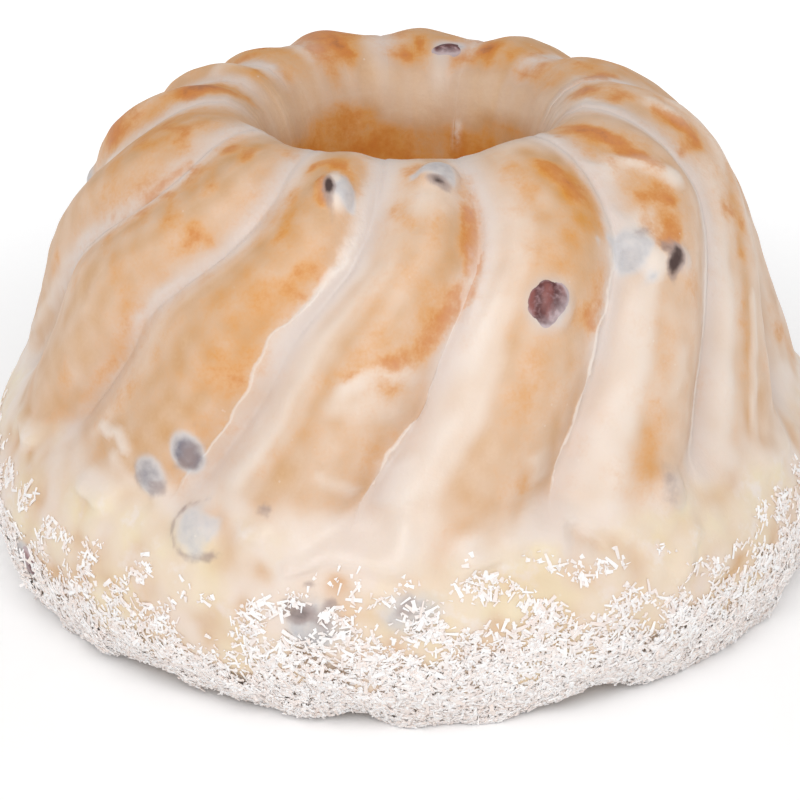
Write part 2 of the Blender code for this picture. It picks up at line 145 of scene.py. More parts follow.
# Strokes on the crust: amount, half width in mm, then the points that it follows, as the place in flutes
# round from the first valley and the station in degrees. First where the crust browned, then where glaze ran,
# among which two strokes are painted highlights
TOASTED = (
    (0.75, 2.4, (-4.50, 97), (-4.22, 97)),
    (0.70, 2.0, (-4.45, 98), (-4.35, 103), (-4.60, 107)),
    (0.30, 1.6, (-3.65, 95), (-3.35, 95)),
    (0.55, 1.3, (-3.65, 91), (-3.20, 90)),
    (0.50, 2.2, (-3.62, 86), (-3.38, 85)),
    (0.45, 2.2, (-3.55, 79), (-3.40, 77)),
    (0.60, 0.7, (-3.03, 91), (-3.05, 85), (-3.02, 79)),
    (0.40, 2.0, (-3.20, 46), (-3.18, 35)),
    (0.95, 1.7, (-2.75, 95), (-2.60, 94.5), (-2.45, 92)),
    (0.55, 1.0, (-2.95, 90), (-2.70, 88), (-2.40, 84)),
    (0.50, 1.2, (-2.88, 87), (-2.60, 83)),
    (0.55, 1.1, (-2.90, 81), (-2.60, 78), (-2.38, 73)),
    (0.50, 1.3, (-2.88, 75), (-2.60, 71)),
    (0.35, 1.8, (-2.75, 66), (-2.40, 60), (-2.20, 55)),
    (0.40, 2.5, (-2.35, 101), (-2.10, 102)),
    (0.60, 0.9, (-2.28, 74), (-2.20, 73), (-2.14, 73.5)),
    (0.45, 0.7, (-2.21, 71.5), (-2.16, 70.5)),
    (0.40, 1.6, (-2.10, 55), (-2.05, 35), (-2.08, 8)),
    (0.40, 1.6, (-2.32, 25), (-2.20, 8), (-2.17, -4)),
    (1.10, 1.2, (-1.74, 95.5), (-1.58, 96.5), (-1.44, 95.6)),
    (0.50, 0.9, (-1.44, 95.6), (-1.28, 94)),
    (0.95, 1.4, (-1.56, 89.5), (-1.40, 86)),
    (0.55, 1.6, (-1.80, 87), (-1.70, 83), (-1.60, 78)),
    (0.50, 0.9, (-1.20, 90), (-1.12, 92)),
    (0.32, 3.2, (-1.75, 80), (-1.50, 76)),
    (0.65, 1.4, (-1.24, 72.5), (-1.11, 73)),
    (0.45, 1.8, (-1.25, 69), (-1.15, 67)),
    (0.45, 4.5, (-1.25, 65), (-1.18, 50), (-1.20, 40)),
    (0.30, 5.5, (-1.52, 62), (-1.36, 50)),
    (0.22, 4.0, (-1.75, 30), (-1.72, 18)),
    (0.60, 2.2, (-0.74, 97), (-0.62, 98)),
    (0.45, 1.4, (-0.78, 86), (-0.55, 83)),
    (0.85, 1.5, (-0.13, 86), (-0.10, 80), (-0.05, 76)),
    (0.60, 2.4, (-0.05, 95), (-0.08, 86), (-0.03, 78), (0.00, 71)),
    (0.80, 2.3, (-0.02, 70), (-0.08, 62), (-0.15, 54), (-0.25, 51)),
    (0.32, 4.5, (-0.18, 68), (-0.28, 60), (-0.40, 52)),
    (0.50, 1.4, (-0.28, 51), (-0.46, 45.5)),
    (0.45, 2.0, (-0.30, 45), (-0.22, 43.5)),
    (0.24, 3.2, (-0.68, 43), (-0.66, 25), (-0.67, 10)),
    (0.28, 3.2, (-0.10, 28), (-0.08, 12)),
    (0.95, 1.8, (0.60, 92), (0.64, 86), (0.71, 81)),
    (0.62, 3.0, (0.70, 90), (0.80, 84), (0.88, 76)),
    (0.55, 2.6, (0.90, 92), (0.95, 84)),
    (0.50, 2.0, (0.33, 92), (0.42, 88)),
    (0.18, 4.0, (0.38, 82), (0.45, 73)),
    (0.30, 3.4, (0.64, 79), (0.66, 70)),
    (0.55, 2.4, (0.90, 67), (0.92, 56)),
    (0.50, 2.4, (0.80, 57), (0.90, 55)),
    (0.50, 1.4, (0.35, 59), (0.38, 57)),
    (0.26, 3.6, (0.56, 50), (0.50, 30)),
    (0.32, 2.2, (-0.52, 52), (-0.50, 44)),
    (0.35, 1.2, (0.72, 8), (0.78, 3)),
    (0.75, 2.3, (1.15, 102), (1.35, 102)),
    (0.50, 4.4, (1.30, 97), (1.42, 91)),
    (0.95, 1.5, (1.40, 98), (1.43, 92), (1.42, 88), (1.50, 82)),
    (0.55, 1.8, (1.25, 88), (1.40, 86)),
    (0.72, 1.7, (1.28, 78.5), (1.42, 77.5), (1.50, 74)),
    (0.85, 1.4, (1.22, 74.5), (1.35, 70.5), (1.50, 67.5)),
    (0.36, 2.6, (1.42, 73), (1.56, 70)),
    (0.35, 3.2, (1.66, 56), (1.90, 52)),
    (0.14, 1.8, (1.45, 48), (1.47, 20), (1.46, -12)),
    (0.20, 3.6, (1.45, 16), (1.49, -8)),
    (0.30, 2.2, (1.68, 42), (1.66, 28)),
    (0.62, 2.2, (2.26, 100), (2.42, 98)),
    (0.95, 1.6, (2.30, 89), (2.36, 85), (2.33, 80)),
    (0.55, 1.2, (2.10, 82), (2.30, 81)),
    (0.50, 1.3, (2.25, 68), (2.40, 66), (2.48, 63)),
    (0.60, 1.4, (2.40, 55), (2.45, 54)),
    (0.42, 2.2, (2.39, 46), (2.38, 18)),
    (0.40, 2.4, (2.60, 20), (2.68, 4)),
    (0.60, 2.4, (2.40, 106), (2.90, 107)),
    (0.70, 1.3, (3.05, 109.5), (2.72, 105.8), (2.50, 103)),
    (0.60, 1.2, (3.95, 107), (3.83, 104), (3.64, 101.5), (3.40, 98)),
    (0.85, 1.6, (4.05, 109), (3.67, 111), (3.56, 112.5)),
    (0.60, 1.6, (3.57, 109.5), (3.42, 107.5)),
    (0.95, 2.0, (4.90, 107.4), (4.80, 105.2)),
    (0.62, 1.4, (4.66, 107), (4.60, 110)),
    (0.50, 2.2, (4.66, 104), (4.40, 102.5)),
    (0.90, 2.2, (3.10, 101), (3.17, 97)),
    (0.50, 1.3, (5.17, 110.5), (5.08, 107)),
    (1.00, 1.0, (5.75, 106.6), (5.59, 103.8), (5.44, 103.2), (5.27, 104.5)),
    (0.85, 2.2, (5.86, 109.6), (5.72, 108.4), (5.55, 110)),
    (0.80, 1.8, (6.66, 103.5), (6.54, 109)),
    (0.62, 2.6, (6.86, 110), (6.95, 105)),
    (0.50, 2.0, (7.86, 107.5), (7.97, 111)),
    (0.50, 2.2, (8.40, 104), (8.70, 106)),
    (-0.30, 6.0, (4.00, 119), (5.10, 119)),
    (-0.30, 5.0, (3.00, 112), (4.60, 115), (6.00, 115)),
    (0.35, 3.6, (-2.85, 98), (-2.50, 94)),
    (0.14, 3.4, (-3.70, 92), (-3.40, 88)),
    (0.30, 3.0, (-4.60, 96), (-4.30, 92)),
    (0.22, 4.0, (-1.70, 92), (-1.30, 96)),
)
GLAZED = (
    (0.45, 1.8, (-3.03, 70), (-3.06, 50), (-3.13, 30), (-3.22, 10), (-3.34, -2)),
    (0.75, 1.6, (-1.40, 91), (-1.26, 88)),
    (0.30, 2.2, (-1.36, 104), (-1.10, 100)),
    (0.75, 1.5, (-1.72, 7), (-1.60, 8.5), (-1.50, 5)),
    (0.60, 1.6, (-1.52, 0), (-1.36, -6)),
    (0.55, 2.6, (-0.43, 42.5), (-0.30, 47), (-0.20, 49.5)),
    (0.30, 4.0, (-0.45, 37), (-0.22, 36)),
    # This stroke is a painted highlight: a bright line low on a lobe, drawn as glaze
    (0.25, 1.2, (-0.32, 10), (-0.10, 4)),
    (0.40, 3.4, (-0.52, 88), (-0.20, 89)),
    (0.30, 2.4, (0.80, 17), (0.86, 7)),
    (0.40, 3.0, (0.52, 102), (0.90, 100)),
    (0.85, 1.5, (1.02, 91), (1.25, 87), (1.47, 82.5), (1.58, 78)),
    (0.80, 2.6, (1.00, 78), (1.15, 75), (1.25, 70), (1.36, 65)),
    (0.50, 0.8, (2.50, 42), (2.47, 12), (2.45, -8)),
    (0.60, 1.6, (2.43, 91), (2.42, 86)),
    (0.70, 3.0, (2.62, 84), (2.56, 74)),
    (0.40, 2.2, (2.12, 77), (2.42, 72)),
    (0.45, 2.0, (2.95, 112), (2.40, 110), (2.10, 105)),
    (0.60, 1.8, (5.40, 108.5), (5.28, 113)),
    (0.60, 2.2, (6.22, 103), (6.13, 110)),
    (0.55, 1.6, (8.80, 97), (7.96, 102), (7.98, 105)),
    # This stroke is a painted highlight: a bright spot on the hole's inner wall, drawn as thick glaze
    (3.00, 0.8, (4.95, 121.0), (4.93, 123.5)),
    (0.60, 3.0, (0.05, 16), (0.12, 2)),
    (-0.22, 4.5, (1.48, 16), (1.50, -4)),
    (-0.25, 2.6, (-2.03, 88), (-2.02, 60), (-1.96, 42)),
    (-0.20, 2.6, (4.90, 107.4), (4.80, 105.2)),
    (0.22, 2.2, (1.60, 40), (1.58, 27)),
)
# Folds where the lobes end, laid out in the same way, with their height in glaze heights. They hold glaze
# too, and less of it along a crease below 0, where the darker crust that shows is painted shade
FOLDS = (
    (2.40, 3.0, (0.62, -13), (0.86, -10), (1.06, -9)),
    (1.14, 2.6, (0.86, -14), (1.08, -13)),
    (-1.52, 0.9, (1.10, -9.5), (1.22, -13.8), (1.29, -17.0)),
    (-1.14, 2.4, (1.33, -15.4), (1.47, -16.9)),
    (1.71, 1.8, (-0.22, -15.4), (-0.07, -12.2), (0.16, -12.2)),
    (1.33, 2.2, (-0.54, -9.4), (-0.47, -9.4)),
    (1.71, 2.2, (1.85, -17.6), (1.76, -23.0)),
    (1.52, 2.4, (0.22, -4.1), (0.26, -13.0)),
    (1.52, 2.4, (-1.57, -10.4), (-1.43, -12.2)),
    (-0.95, 1.6, (-1.32, -9.0), (-1.20, -12.0)),
    (1.14, 2.0, (-2.40, -9.0), (-2.20, -12.0)),
    (1.33, 2.4, (2.50, -10.0), (2.75, -13.0)),
    (1.33, 2.4, (3.60, -10.0), (3.90, -12.0)),
    (1.52, 2.0, (5.20, -12.0), (5.40, -15.0)),
    (1.33, 2.6, (6.60, -9.0), (6.90, -12.0)),
    (1.52, 2.2, (8.30, -11.0), (8.55, -14.0)),
    (1.33, 2.4, (9.50, -9.0), (9.80, -13.0)),
)
# A stroke has faded at this many times its half width and this many mm more
STROKE_FADE = 1.5
STROKE_EDGE = 0.6
# The lobes that face away, on which strokes are drawn at random
FAR_LOBES = range(3, 10)

# Where the foot lifts off, and where the coconut's upper edge rises: how far, then the azimuth and the half
# width in radians. A foot's lift is a share of uneven_foot, and a rise is in mm
FOOT_LIFTS = ((1.0, 0.45, 0.15), (0.9, -0.62, 0.28), (0.7, -0.12, 0.07))
COCONUT_RISES = ((8.0, 0.12, 0.24), (1.0, 0.62, 0.16))
# Usual height of the middle of the coconut's upper edge, in mm
COCONUT_TOP = 20.0
# Places tried at a time, the share of the wall's rows that they are below, and the grid's widest cell
COCONUT_TRIES = 60000
COCONUT_ROWS = 0.42
WIDEST_CELL = 0.0016

# Raisins: azimuth and station in degrees, length and width in mm, turn in degrees, as in the CAD. Then how
# much of it the glaze covers, the direction on the crust in which it shows bare, and how strongly it shows
# through the glaze
RAISINS = (
    (-15.3, 88.3, 9.5, 8.0, 100.0, 1.00, 0, 0.15),
    (7.6, 94.4, 11.0, 8.5, 0.0, 1.00, 0, 0.30),
    (21.9, 61.2, 13.0, 11.0, 70.0, 0.25, 135, 0.35),
    (48.4, 63.4, 8.5, 7.0, 100.0, 1.00, 0, 0.25),
    (42.0, 72.2, 10.0, 8.0, 20.0, 1.00, 0, 0.30),
    (-32.6, 9.5, 9.5, 7.0, 115.0, 1.00, 0, 0.85),
    (-37.4, -1.5, 9.0, 7.0, 120.0, 1.00, 0, 0.60),
    (-28.8, -13.0, 13.0, 12.0, 80.0, 1.00, 0, 0.15),
    (-11.3, -27.0, 13.0, 11.0, 40.0, 1.00, 0, 0.45),
    (0.2, -23.5, 14.0, 9.5, 10.0, 1.00, 0, 0.36),
    (37.4, -6.5, 12.5, 9.0, 95.0, 1.00, 0, 0.16),
    (-59.5, -38.0, 12.0, 8.5, 150.0, 0.45, 0, 0.60),
    (165.5, 105.5, 9.5, 6.5, 0.0, 0.20, 90, 0.50),
    (106.0, 42.0, 11.0, 9.0, 30.0, 0.30, 45, 0.40),
    (118.0, -12.0, 12.5, 9.5, 75.0, 1.00, 0, 0.50),
    (133.0, 72.0, 10.5, 8.5, 120.0, 0.40, 90, 0.40),
    (151.0, 12.0, 12.5, 9.5, 50.0, 1.00, 0, 0.40),
    (186.0, 40.0, 11.5, 9.0, 85.0, 0.35, 0, 0.40),
    (203.0, -20.0, 12.5, 10.0, 15.0, 1.00, 0, 0.35),
    (221.0, 68.0, 11.0, 8.5, 60.0, 0.30, -60, 0.40),
    (243.0, 22.0, 12.0, 9.5, 140.0, 0.75, 90, 0.45),
    (253.0, 55.0, 10.0, 8.0, 10.0, 1.00, 0, 0.45),
)
# Slits and rims by the raisins, dark with the raisin's skin and with painted shade in the gaps and dips
# beside it, and parts of them that show grey: raisin, right and up the crust from its middle, half length,
# half width in mm, turn in degrees, then how dark, or how grey where it is below 0
SLITS = (
    (1, -1.1, 0.4, 2.8, 0.7, 84, 1.10),
    (1, -1.4, -2.6, 3.2, 0.9, 95, 0.52),
    (1, 2.4, -1.2, 3.4, 2.6, 100, -0.42),
    (2, -3.8, -0.9, 2.4, 0.9, -75, 0.90),
    (2, -0.5, 0.6, 4.2, 3.8, 0, -0.46),
    (4, -2.4, -0.6, 2.6, 1.3, 70, 1.20),
    (4, -0.6, 0.6, 2.4, 0.7, 80, 0.90),
    (4, -2.6, 3.0, 1.2, 0.9, 100, 0.60),
    (5, 2.0, 2.2, 2.6, 1.3, 20, 0.30),
    (5, -0.8, -2.4, 6.0, 4.4, 80, -0.42),
    (6, 0.4, -1.2, 3.0, 2.0, 65, 0.42),
    (7, 2.0, -2.4, 2.2, 1.4, 60, 0.42),
    (7, -2.8, -1.2, 2.0, 1.0, 100, 0.32),
    (8, 1.9, 0.1, 5.4, 5.2, 0, -0.36),
    (8, -2.1, 4.8, 2.4, 0.6, 40, 0.26),
    (8, -4.0, 2.0, 2.6, 0.7, 72, 0.34),
    (8, -4.2, -1.1, 2.6, 0.7, 101, 0.36),
    (8, -2.8, -3.9, 2.6, 0.7, 130, 0.34),
    (8, -0.2, -5.7, 2.6, 0.7, 160, 0.30),
    (8, 3.0, -6.0, 2.4, 0.7, 190, 0.30),
    (8, 6.3, -4.3, 2.2, 1.0, 225, 0.48),
    (8, 15.8, 8.7, 1.4, 1.1, 0, 0.42),
    (9, -2.4, 2.4, 3.8, 2.2, 15, 0.68),
    (9, 2.8, 1.4, 2.0, 1.4, -30, 0.34),
    (9, 1.0, -3.0, 5.0, 3.0, 10, -0.50),
    (10, -1.0, 1.0, 2.5, 1.4, 20, 0.40),
    (11, -1.5, 2.0, 4.6, 1.8, 75, 0.26),
    (12, 0.0, 0.0, 3.0, 2.0, 0, 0.60),
    (15, 1.5, -2.0, 2.5, 1.4, 30, 0.50),
    (17, -2.0, -3.0, 3.0, 1.2, -20, 0.45),
    (19, 1.0, 2.0, 3.0, 1.2, 80, 0.50),
    (21, 2.0, -3.0, 2.5, 1.3, 20, 0.50),
    (22, 0.0, -2.0, 2.6, 1.2, 0, 0.60),
)
RAISIN_HEIGHT_SHARE = 0.8
RAISIN_SUNK_SHARE = 0.28
RAISIN_RINGS = 40
RAISIN_SIDES = 60
# Film of glaze over a covered raisin, and how softly it meets the crust round it
RAISIN_FILM = 0.3 * MM
RAISIN_BLEND = 0.35 * MM

# The stage: where the camera and the soft light stand, and their turns in degrees
CAMERA_PLACE = (-0.00167, -0.5548, 0.2839)
CAMERA_TURN = (65.77, 0.0, 0.0)
KEY_PLACE = (-0.05, -0.70, 0.77)
KEY_TURN = (43.0, 0.0, -4.0)
KEY_SIZE = 0.7
FLOOR_REACH = 4.0


def linear(code):
    """Linear RGB of an sRGB hex code such as E2CDB9."""
    values = np.array([int(code[i : i + 2], 16) for i in (0, 2, 4)]) / 255
    return tuple(np.where(values <= 0.04045, values / 12.92, ((values + 0.055) / 1.055) ** 2.4))


def per_mm(size):
    """The Scale of a texture on Object coordinates whose features are size millimetres."""
    return 1.0 / (size * MM)


def eased(value, low, high):
    """0 below low, 1 above high, and a smooth step between them."""
    t = np.clip((value - low) / (high - low), 0.0, 1.0)
    return t * t * (3.0 - 2.0 * t)


def bell(value, middle, wide):
    """1 at middle, and 1/e at wide to either side of it."""
    return np.exp(-(((value - middle) / wide) ** 2))


def bells(value, rows):
    """The sum of bells, each given as (height, middle, wide)."""
    return sum(height * bell(value, middle, wide) for height, middle, wide in rows)


def wander(points, size, seed, waves=14):
    """Smooth noise from about -1 to 1 with features of size millimetres: a sum of plane waves all ways.

    points is an array of metres whose last axis has three columns."""
    draw = np.random.default_rng(seed)
    directions = draw.normal(size=(waves, 3))
    directions /= np.linalg.norm(directions, axis=1, keepdims=True)
    lengths = size * MM * 2.0 * draw.uniform(0.8, 1.25, waves)
    phases = draw.uniform(0, TURN, waves)
    total = np.zeros(points.shape[:-1])
    for direction, length, phase in zip(directions, lengths, phases):
        total += np.sin(points @ direction * (TURN / length) + phase)
    return total * math.sqrt(2.0 / waves) * 0.7


def wanders(points, *noises):
    """The sum of wanders, each given as (amount, size, seed)."""
    return sum(amount * wander(points, size, seed) for amount, size, seed in noises)


def curve_through(knots, before, after, steps=24):
    """Points of a Catmull-Rom curve through knots, with the neighbours before and after them."""
    p = np.array([before, *knots, after], float)
    t = np.arange(steps)[:, None] / steps
    stretches = []
    for a, b, c, d in zip(p, p[1:], p[2:], p[3:]):
        bend, twist = 2 * a - 5 * b + 4 * c - d, 3 * b - a - 3 * c + d
        stretches.append(0.5 * (2 * b + (c - a) * t + bend * t**2 + twist * t**3))
    return np.vstack([*stretches, p[-2:-1]])


def evenly_along(path, count):
    """count points at equal steps of length along a path, its two ends among them."""
    length = np.r_[0.0, np.cumsum(np.linalg.norm(np.diff(path, axis=0), axis=1))]
    wanted = np.linspace(0, length[-1], count)
    return np.stack([np.interp(wanted, length, path[:, i]) for i in (0, 1)], axis=1)


def section_rows():
    """The closed section as (radius, height), down the outside, in along the base and up the hole.

    Catmull-Rom curves through the CAD's knots, then points at equal steps of length."""
    r, h, top = CAKE_RADIUS, CAKE_HEIGHT, HOLE_TOP_RADIUS
    outside = [(CREST_RADIUS, h), *((out * r, up * h) for out, up in WALL_KNOTS), (FOOT_RADIUS, 0.0)]
    hole = [
        (HOLE_FOOT_RADIUS, 0.0),
        (0.5 * (HOLE_FOOT_RADIUS + top), 0.40 * h),
        (top, 0.72 * h),
        (1.09 * top, 0.86 * h),
        (1.23 * top, 0.945 * h),
        (0.5 * (1.23 * top + CREST_RADIUS), 0.988 * h),
    ]
    foot_out, foot_in = (FOOT_RADIUS - 0.01, 0.0), (HOLE_FOOT_RADIUS, -0.01)
    wall = evenly_along(curve_through(outside, hole[-1], foot_out), WALL_ROWS)
    bore = evenly_along(curve_through([*hole, outside[0]], foot_in, outside[1]), BORE_ROWS + 1)
    base = np.linspace(wall[-1], bore[0], BASE_ROWS + 2)[1:-1]
    return np.vstack([wall, base, bore[:-1]])


def flute_depth(degrees):
    """How deep the valleys are: none in the hole, full on the crest and wall, none on the foot's band."""
    return FLUTE_DEPTH * (1.0 - eased(degrees, 80.0, 114.0)) * eased(degrees, -21.0, 0.0)


def swirl(degrees):
    """How far round the flutes have turned: a bend over the shoulder, then steadily."""
    bend = 8.5 * eased(92.0 - degrees, 0.0, 40.0)
    return np.radians(-bend - 0.2 * np.clip(75.0 - degrees, 0.0, 95.0))


def flute_place(even):
    """Where an even azimuth lies, in flutes round from the first valley, from 0 to FLUTES."""
    return ((even - FIRST_VALLEY) / TURN * FLUTES) % FLUTES


def from_one_to_next(rows, place):
    """The rows' values, one a flute, eased from each to the next with the place in flutes."""
    low = np.floor(place).astype(int) % FLUTES
    share = eased(place - np.floor(place), 0.0, 1.0)
    return [values[low] * (1 - share) + values[(low + 1) % FLUTES] * share for values in rows]


def crown_rise(even, degrees):
    """How far the crowns have risen, in metres: most on the crest, and eased from lobe to lobe."""
    (rise,) = from_one_to_next([np.array(CROWN_RISE) * MM], flute_place(even) - 0.5)
    return rise * (eased(degrees, 35.0, 80.0) * (1 - eased(degrees, 100.0, 130.0)))


def stray(even, degrees):
    """How far a flute line strays from its even azimuth, eased from valley to valley and down the crest."""
    on_crest, on_wall = from_one_to_next(np.radians(np.array(VALLEY_STRAY)).T, flute_place(even))
    up = eased(degrees, 50.0, 88.0)
    return on_crest * up + on_wall * (1 - up)


def from_valley(place, width):
    """How far it is to the nearest valley in mm, from the place in flutes and a flute's width."""
    t = place % 1.0
    return np.minimum(t, 1 - t) * width


def lobe(even):
    """The height of a lobe between its valleys, from 0 to 1: a sine hump with its crown leaning right."""
    t = flute_place(even) % 1.0
    leaning = t - LOBE_LEAN * np.sin(math.pi * t) ** 2
    rise = np.sin(math.pi * leaning) ** 2
    return ((rise + VALLEY_SOFTNESS**2) / (1 + VALLEY_SOFTNESS**2)) ** (LOBE_FULLNESS / 2)


def unevenness(even, station):
    """Slow hand-made swelling of the dough, in metres: three sines round the cake."""
    wide = np.sin(3 * even + 0.7) * np.cos(1.5 * station + 0.4)
    mid = np.sin(7 * even + 2 * station) * 0.6
    each = np.sin(11 * even - station + 1.9) * 0.5
    return LOBE_UNEVENNESS * (wide + mid + each)


def crust_points(even, degrees, reach, foot_share):
    """Points of the fluted crust: reach from the section's middle, less the valleys, turned by the swirl."""
    station = np.radians(degrees)
    raised = crown_rise(even, degrees) + unevenness(even, station) * foot_share
    reach = reach + raised - flute_depth(degrees) * (1 - lobe(even))
    azimuth = even + stray(even, degrees) + swirl(degrees)
    radius = SECTION_MIDDLE[0] + reach * np.cos(station)
    height = SECTION_MIDDLE[1] + reach * np.sin(station)
    return np.stack([radius * np.sin(azimuth), -radius * np.cos(azimuth), height], axis=-1)


def azimuth_of(points):
    """The azimuth of points in radians, 0 at the front and rising to the right."""
    return np.arctan2(points[..., 0], -points[..., 1])


def grid_normals(points):
    """Unit normals of a grid that closes both ways: the cross product of its two central differences."""
    down, along = (np.roll(points, -1, axis=axis) - np.roll(points, 1, axis=axis) for axis in (0, 1))
    normal = np.cross(down, along)
    return normal / np.maximum(np.linalg.norm(normal, axis=-1, keepdims=True), 1e-12)


def across_lobe(table, number, t):
    """The value of each lobe's row at the share t of the way across it, eased from one value to the next."""
    stops = np.array(ACROSS)
    step = np.clip(np.searchsorted(stops, t, side="right") - 1, 0, len(stops) - 2)
    share = eased(t, stops[step], stops[step + 1])
    return table[number, step] * (1 - share) + table[number, step + 1] * share


def strokes(place, degrees, width, rows):
    """Sum of soft strokes on the crust: each is full along its line and eases to 0 at its edge.

    The distance to a line is worked out in millimetres, from width, a flute's width there, and the length of
    a degree of station."""
    total = np.zeros(place.shape)
    for amount, half_width, *path in rows:
        far = np.full(place.shape, np.inf)
        for (from_place, from_station), (to_place, to_station) in zip(path, path[1:]):
            x = ((place - from_place + FLUTES / 2) % FLUTES - FLUTES / 2) * width
            y = (degrees - from_station) * DEGREE_LENGTH
            dx, dy = (to_place - from_place) * width, (to_station - from_station) * DEGREE_LENGTH
            along = np.clip((x * dx + y * dy) / (dx * dx + dy * dy), 0, 1)
            far = np.minimum(far, np.hypot(x - along * dx, y - along * dy))
        total += amount * (1 - eased(far / (half_width + STROKE_EDGE), 0.0, STROKE_FADE))
    return total


def drawn_strokes(seed, each, stations, half_widths, amounts, falls):
    """Strokes like those above for the lobes that face away, drawn anew within the given ranges."""
    draw = np.random.default_rng(seed)
    rows = []
    for number in FAR_LOBES:
        for _ in range(each):
            place, station = number + draw.uniform(0.15, 0.85), draw.uniform(*stations)
            end = (place + draw.uniform(0.05, 0.25), station - draw.uniform(*falls))
            rows.append((draw.uniform(*amounts), draw.uniform(*half_widths), (place, station), end))
    return rows


def lobe_glaze(at):
    """The layers film, bank, rim and lip: the glaze across the lobes and in the valleys."""
    number, t = np.floor(at.place).astype(int) % FLUTES, at.place % 1.0
    on_wall, on_crest = np.array(GLAZE_ON_WALL), np.array(GLAZE_ON_CREST)
    up = eased(at.degrees, 56.0, 80.0)
    own = across_lobe(on_wall, number, t) * (1 - up) + across_lobe(on_crest, number, t) * up
    after = (number + 1) % FLUTES
    beyond = on_wall[after, 0] * (1 - up) + on_crest[after, 0] * up
    inner = eased(at.degrees, 102.0, 112.0)
    own, beyond = (glaze * (1 - inner) + HOLE_GLAZE * inner for glaze in (own, beyond))
    own = own * (1.0 + 0.16 * at.streak + 0.12 * at.run) + 0.05 * wander(at.points, 3.0, 11)
    own = own + strokes(at.place, at.warped, at.width, GLAZED)
    far_runs = drawn_strokes(21, 3, (5, 95), (1.0, 3.0), (0.2, 0.6), (2, 20))
    own = own + strokes(at.place, at.warped, at.width, far_runs)

    thinner = (1 - 0.40 * at.in_hole) * (1 - 0.45 * at.far_crest)
    thinner = thinner + 0.22 * eased(at.degrees, 108.0, 113.0) * (1 - at.in_hole)
    valley = from_valley(at.place, at.width) + 0.5 * wander(at.points, 7.0, 18)
    band = 0.95 * bell(valley, 0.0, 2.9) * eased(at.degrees, 35.0, 62.0) * (1 - inner)
    below = 0.45 * (1 + wanders(at.points, (0.45, 10.0, 25), (0.45, 3.6, 26))) + 0.22 * at.folds
    below = np.clip(below, 0.05, 1.2)
    wall = eased(at.degrees + 2.0 * wander(at.points, 9.0, 19), -12.0, 4.0)
    beside = np.where(t < 0.66, own, beyond * (1.0 + 0.16 * at.streak))
    film, bank = (
        np.clip(glaze * thinner + band, 0.03, 1.5) * wall + below * (1 - wall) for glaze in (own, beside)
    )

    softness = np.array(RIM_SOFTNESS)[number]
    half_width = softness + 2.6 * eased(at.degrees, 62.0, 84.0) + 5.0 * eased(at.degrees, 96.0, 108.0)
    scallop = wanders(at.points, (0.35, 10.0, 3), (0.25, 3.6, 4))
    from_rim = ((t - np.array(RIM_AT)[number]) * at.width + scallop) / half_width
    rim = 3.0 + (np.clip(from_rim, -3.0, 3.0) - 3.0) * eased(t, 0.50, 0.70)
    # lip marks the rim's white lip of glaze, on which the shader paints a highlight
    lip = eased(t, 0.72, 0.76) * (1 - eased(at.degrees, 70.0, 88.0)) * eased(at.degrees, -8.0, 6.0)
    return {"film": film, "bank": bank, "rim": rim, "lip": lip * (1 - eased(softness, 0.6, 1.4))}


def foot_glaze(at):
    """The layers pool and cream: the glaze that has run down and gathered where the lobes end."""
    hump = lobe(at.place / FLUTES * TURN + FIRST_VALLEY)
    pool_top = -2.0 - 5.0 * hump + wanders(at.points, (3.0, 15.0, 12), (1.2, 5.0, 13))
    uneven = 0.66 + wanders(at.points, (0.36, 9.0, 15), (0.30, 4.0, 27)) + 0.28 * at.folds
    on_foot = 1 - eased(at.degrees, 120.0, 150.0)
    pool = eased(pool_top - at.degrees, -5.0, 9.0) * on_foot * np.clip(uneven, 0.10, 1.3)
    bare = eased(wander(at.points, 8.0, 20), 0.2, 1.3) * eased(-at.degrees, 14.0, 24.0)
    cream = eased(-at.degrees + 3.0 * wander(at.points, 12.0, 16), 6.0, 14.0) * on_foot
    return {"pool": np.clip(pool * (1 - 0.55 * bare), 0.0, 1.2), "cream": cream}


def browning(at):
    """The layer toast: browned strokes over an even tan, browner on the far crest and deep in the hole."""
    toast = 0.38 + 0.04 * eased(at.degrees, 30.0, 90.0) + 0.04 * at.run + 0.04 * at.streak
    outside = 1 - eased(at.degrees, 98.0, 110.0)
    toast = toast + (0.11 * at.far_crest + 0.10 * at.far_crest * at.run) * outside
    far_tops = drawn_strokes(22, 6, (45, 96), (1.2, 4.0), (0.35, 0.95), (-4, 8))
    far_walls = drawn_strokes(23, 3, (0, 50), (2.0, 5.0), (0.2, 0.4), (5, 25))
    spots = sum(strokes(at.place, at.warped, at.width, rows) for rows in (TOASTED, far_tops, far_walls))
    toast = toast + (0.32 + 0.07 * at.far_crest) * np.clip(spots, -1.0, 1.05)
    toast = toast - 0.17 * eased(at.degrees, 107.0, 112.0) * (1 - at.in_hole)
    toast = toast + at.in_hole * (0.18 + 0.08 * wander(at.points, 5.0, 23))
    toast = toast + 0.06 * eased(at.degrees, 120.0, 132.0)
    upright = wander(at.points * (1.0, 1.0, 0.6), 6.0, 14)
    return {"toast": toast + 0.07 * eased(at.degrees, 108.0, 114.0) * upright}


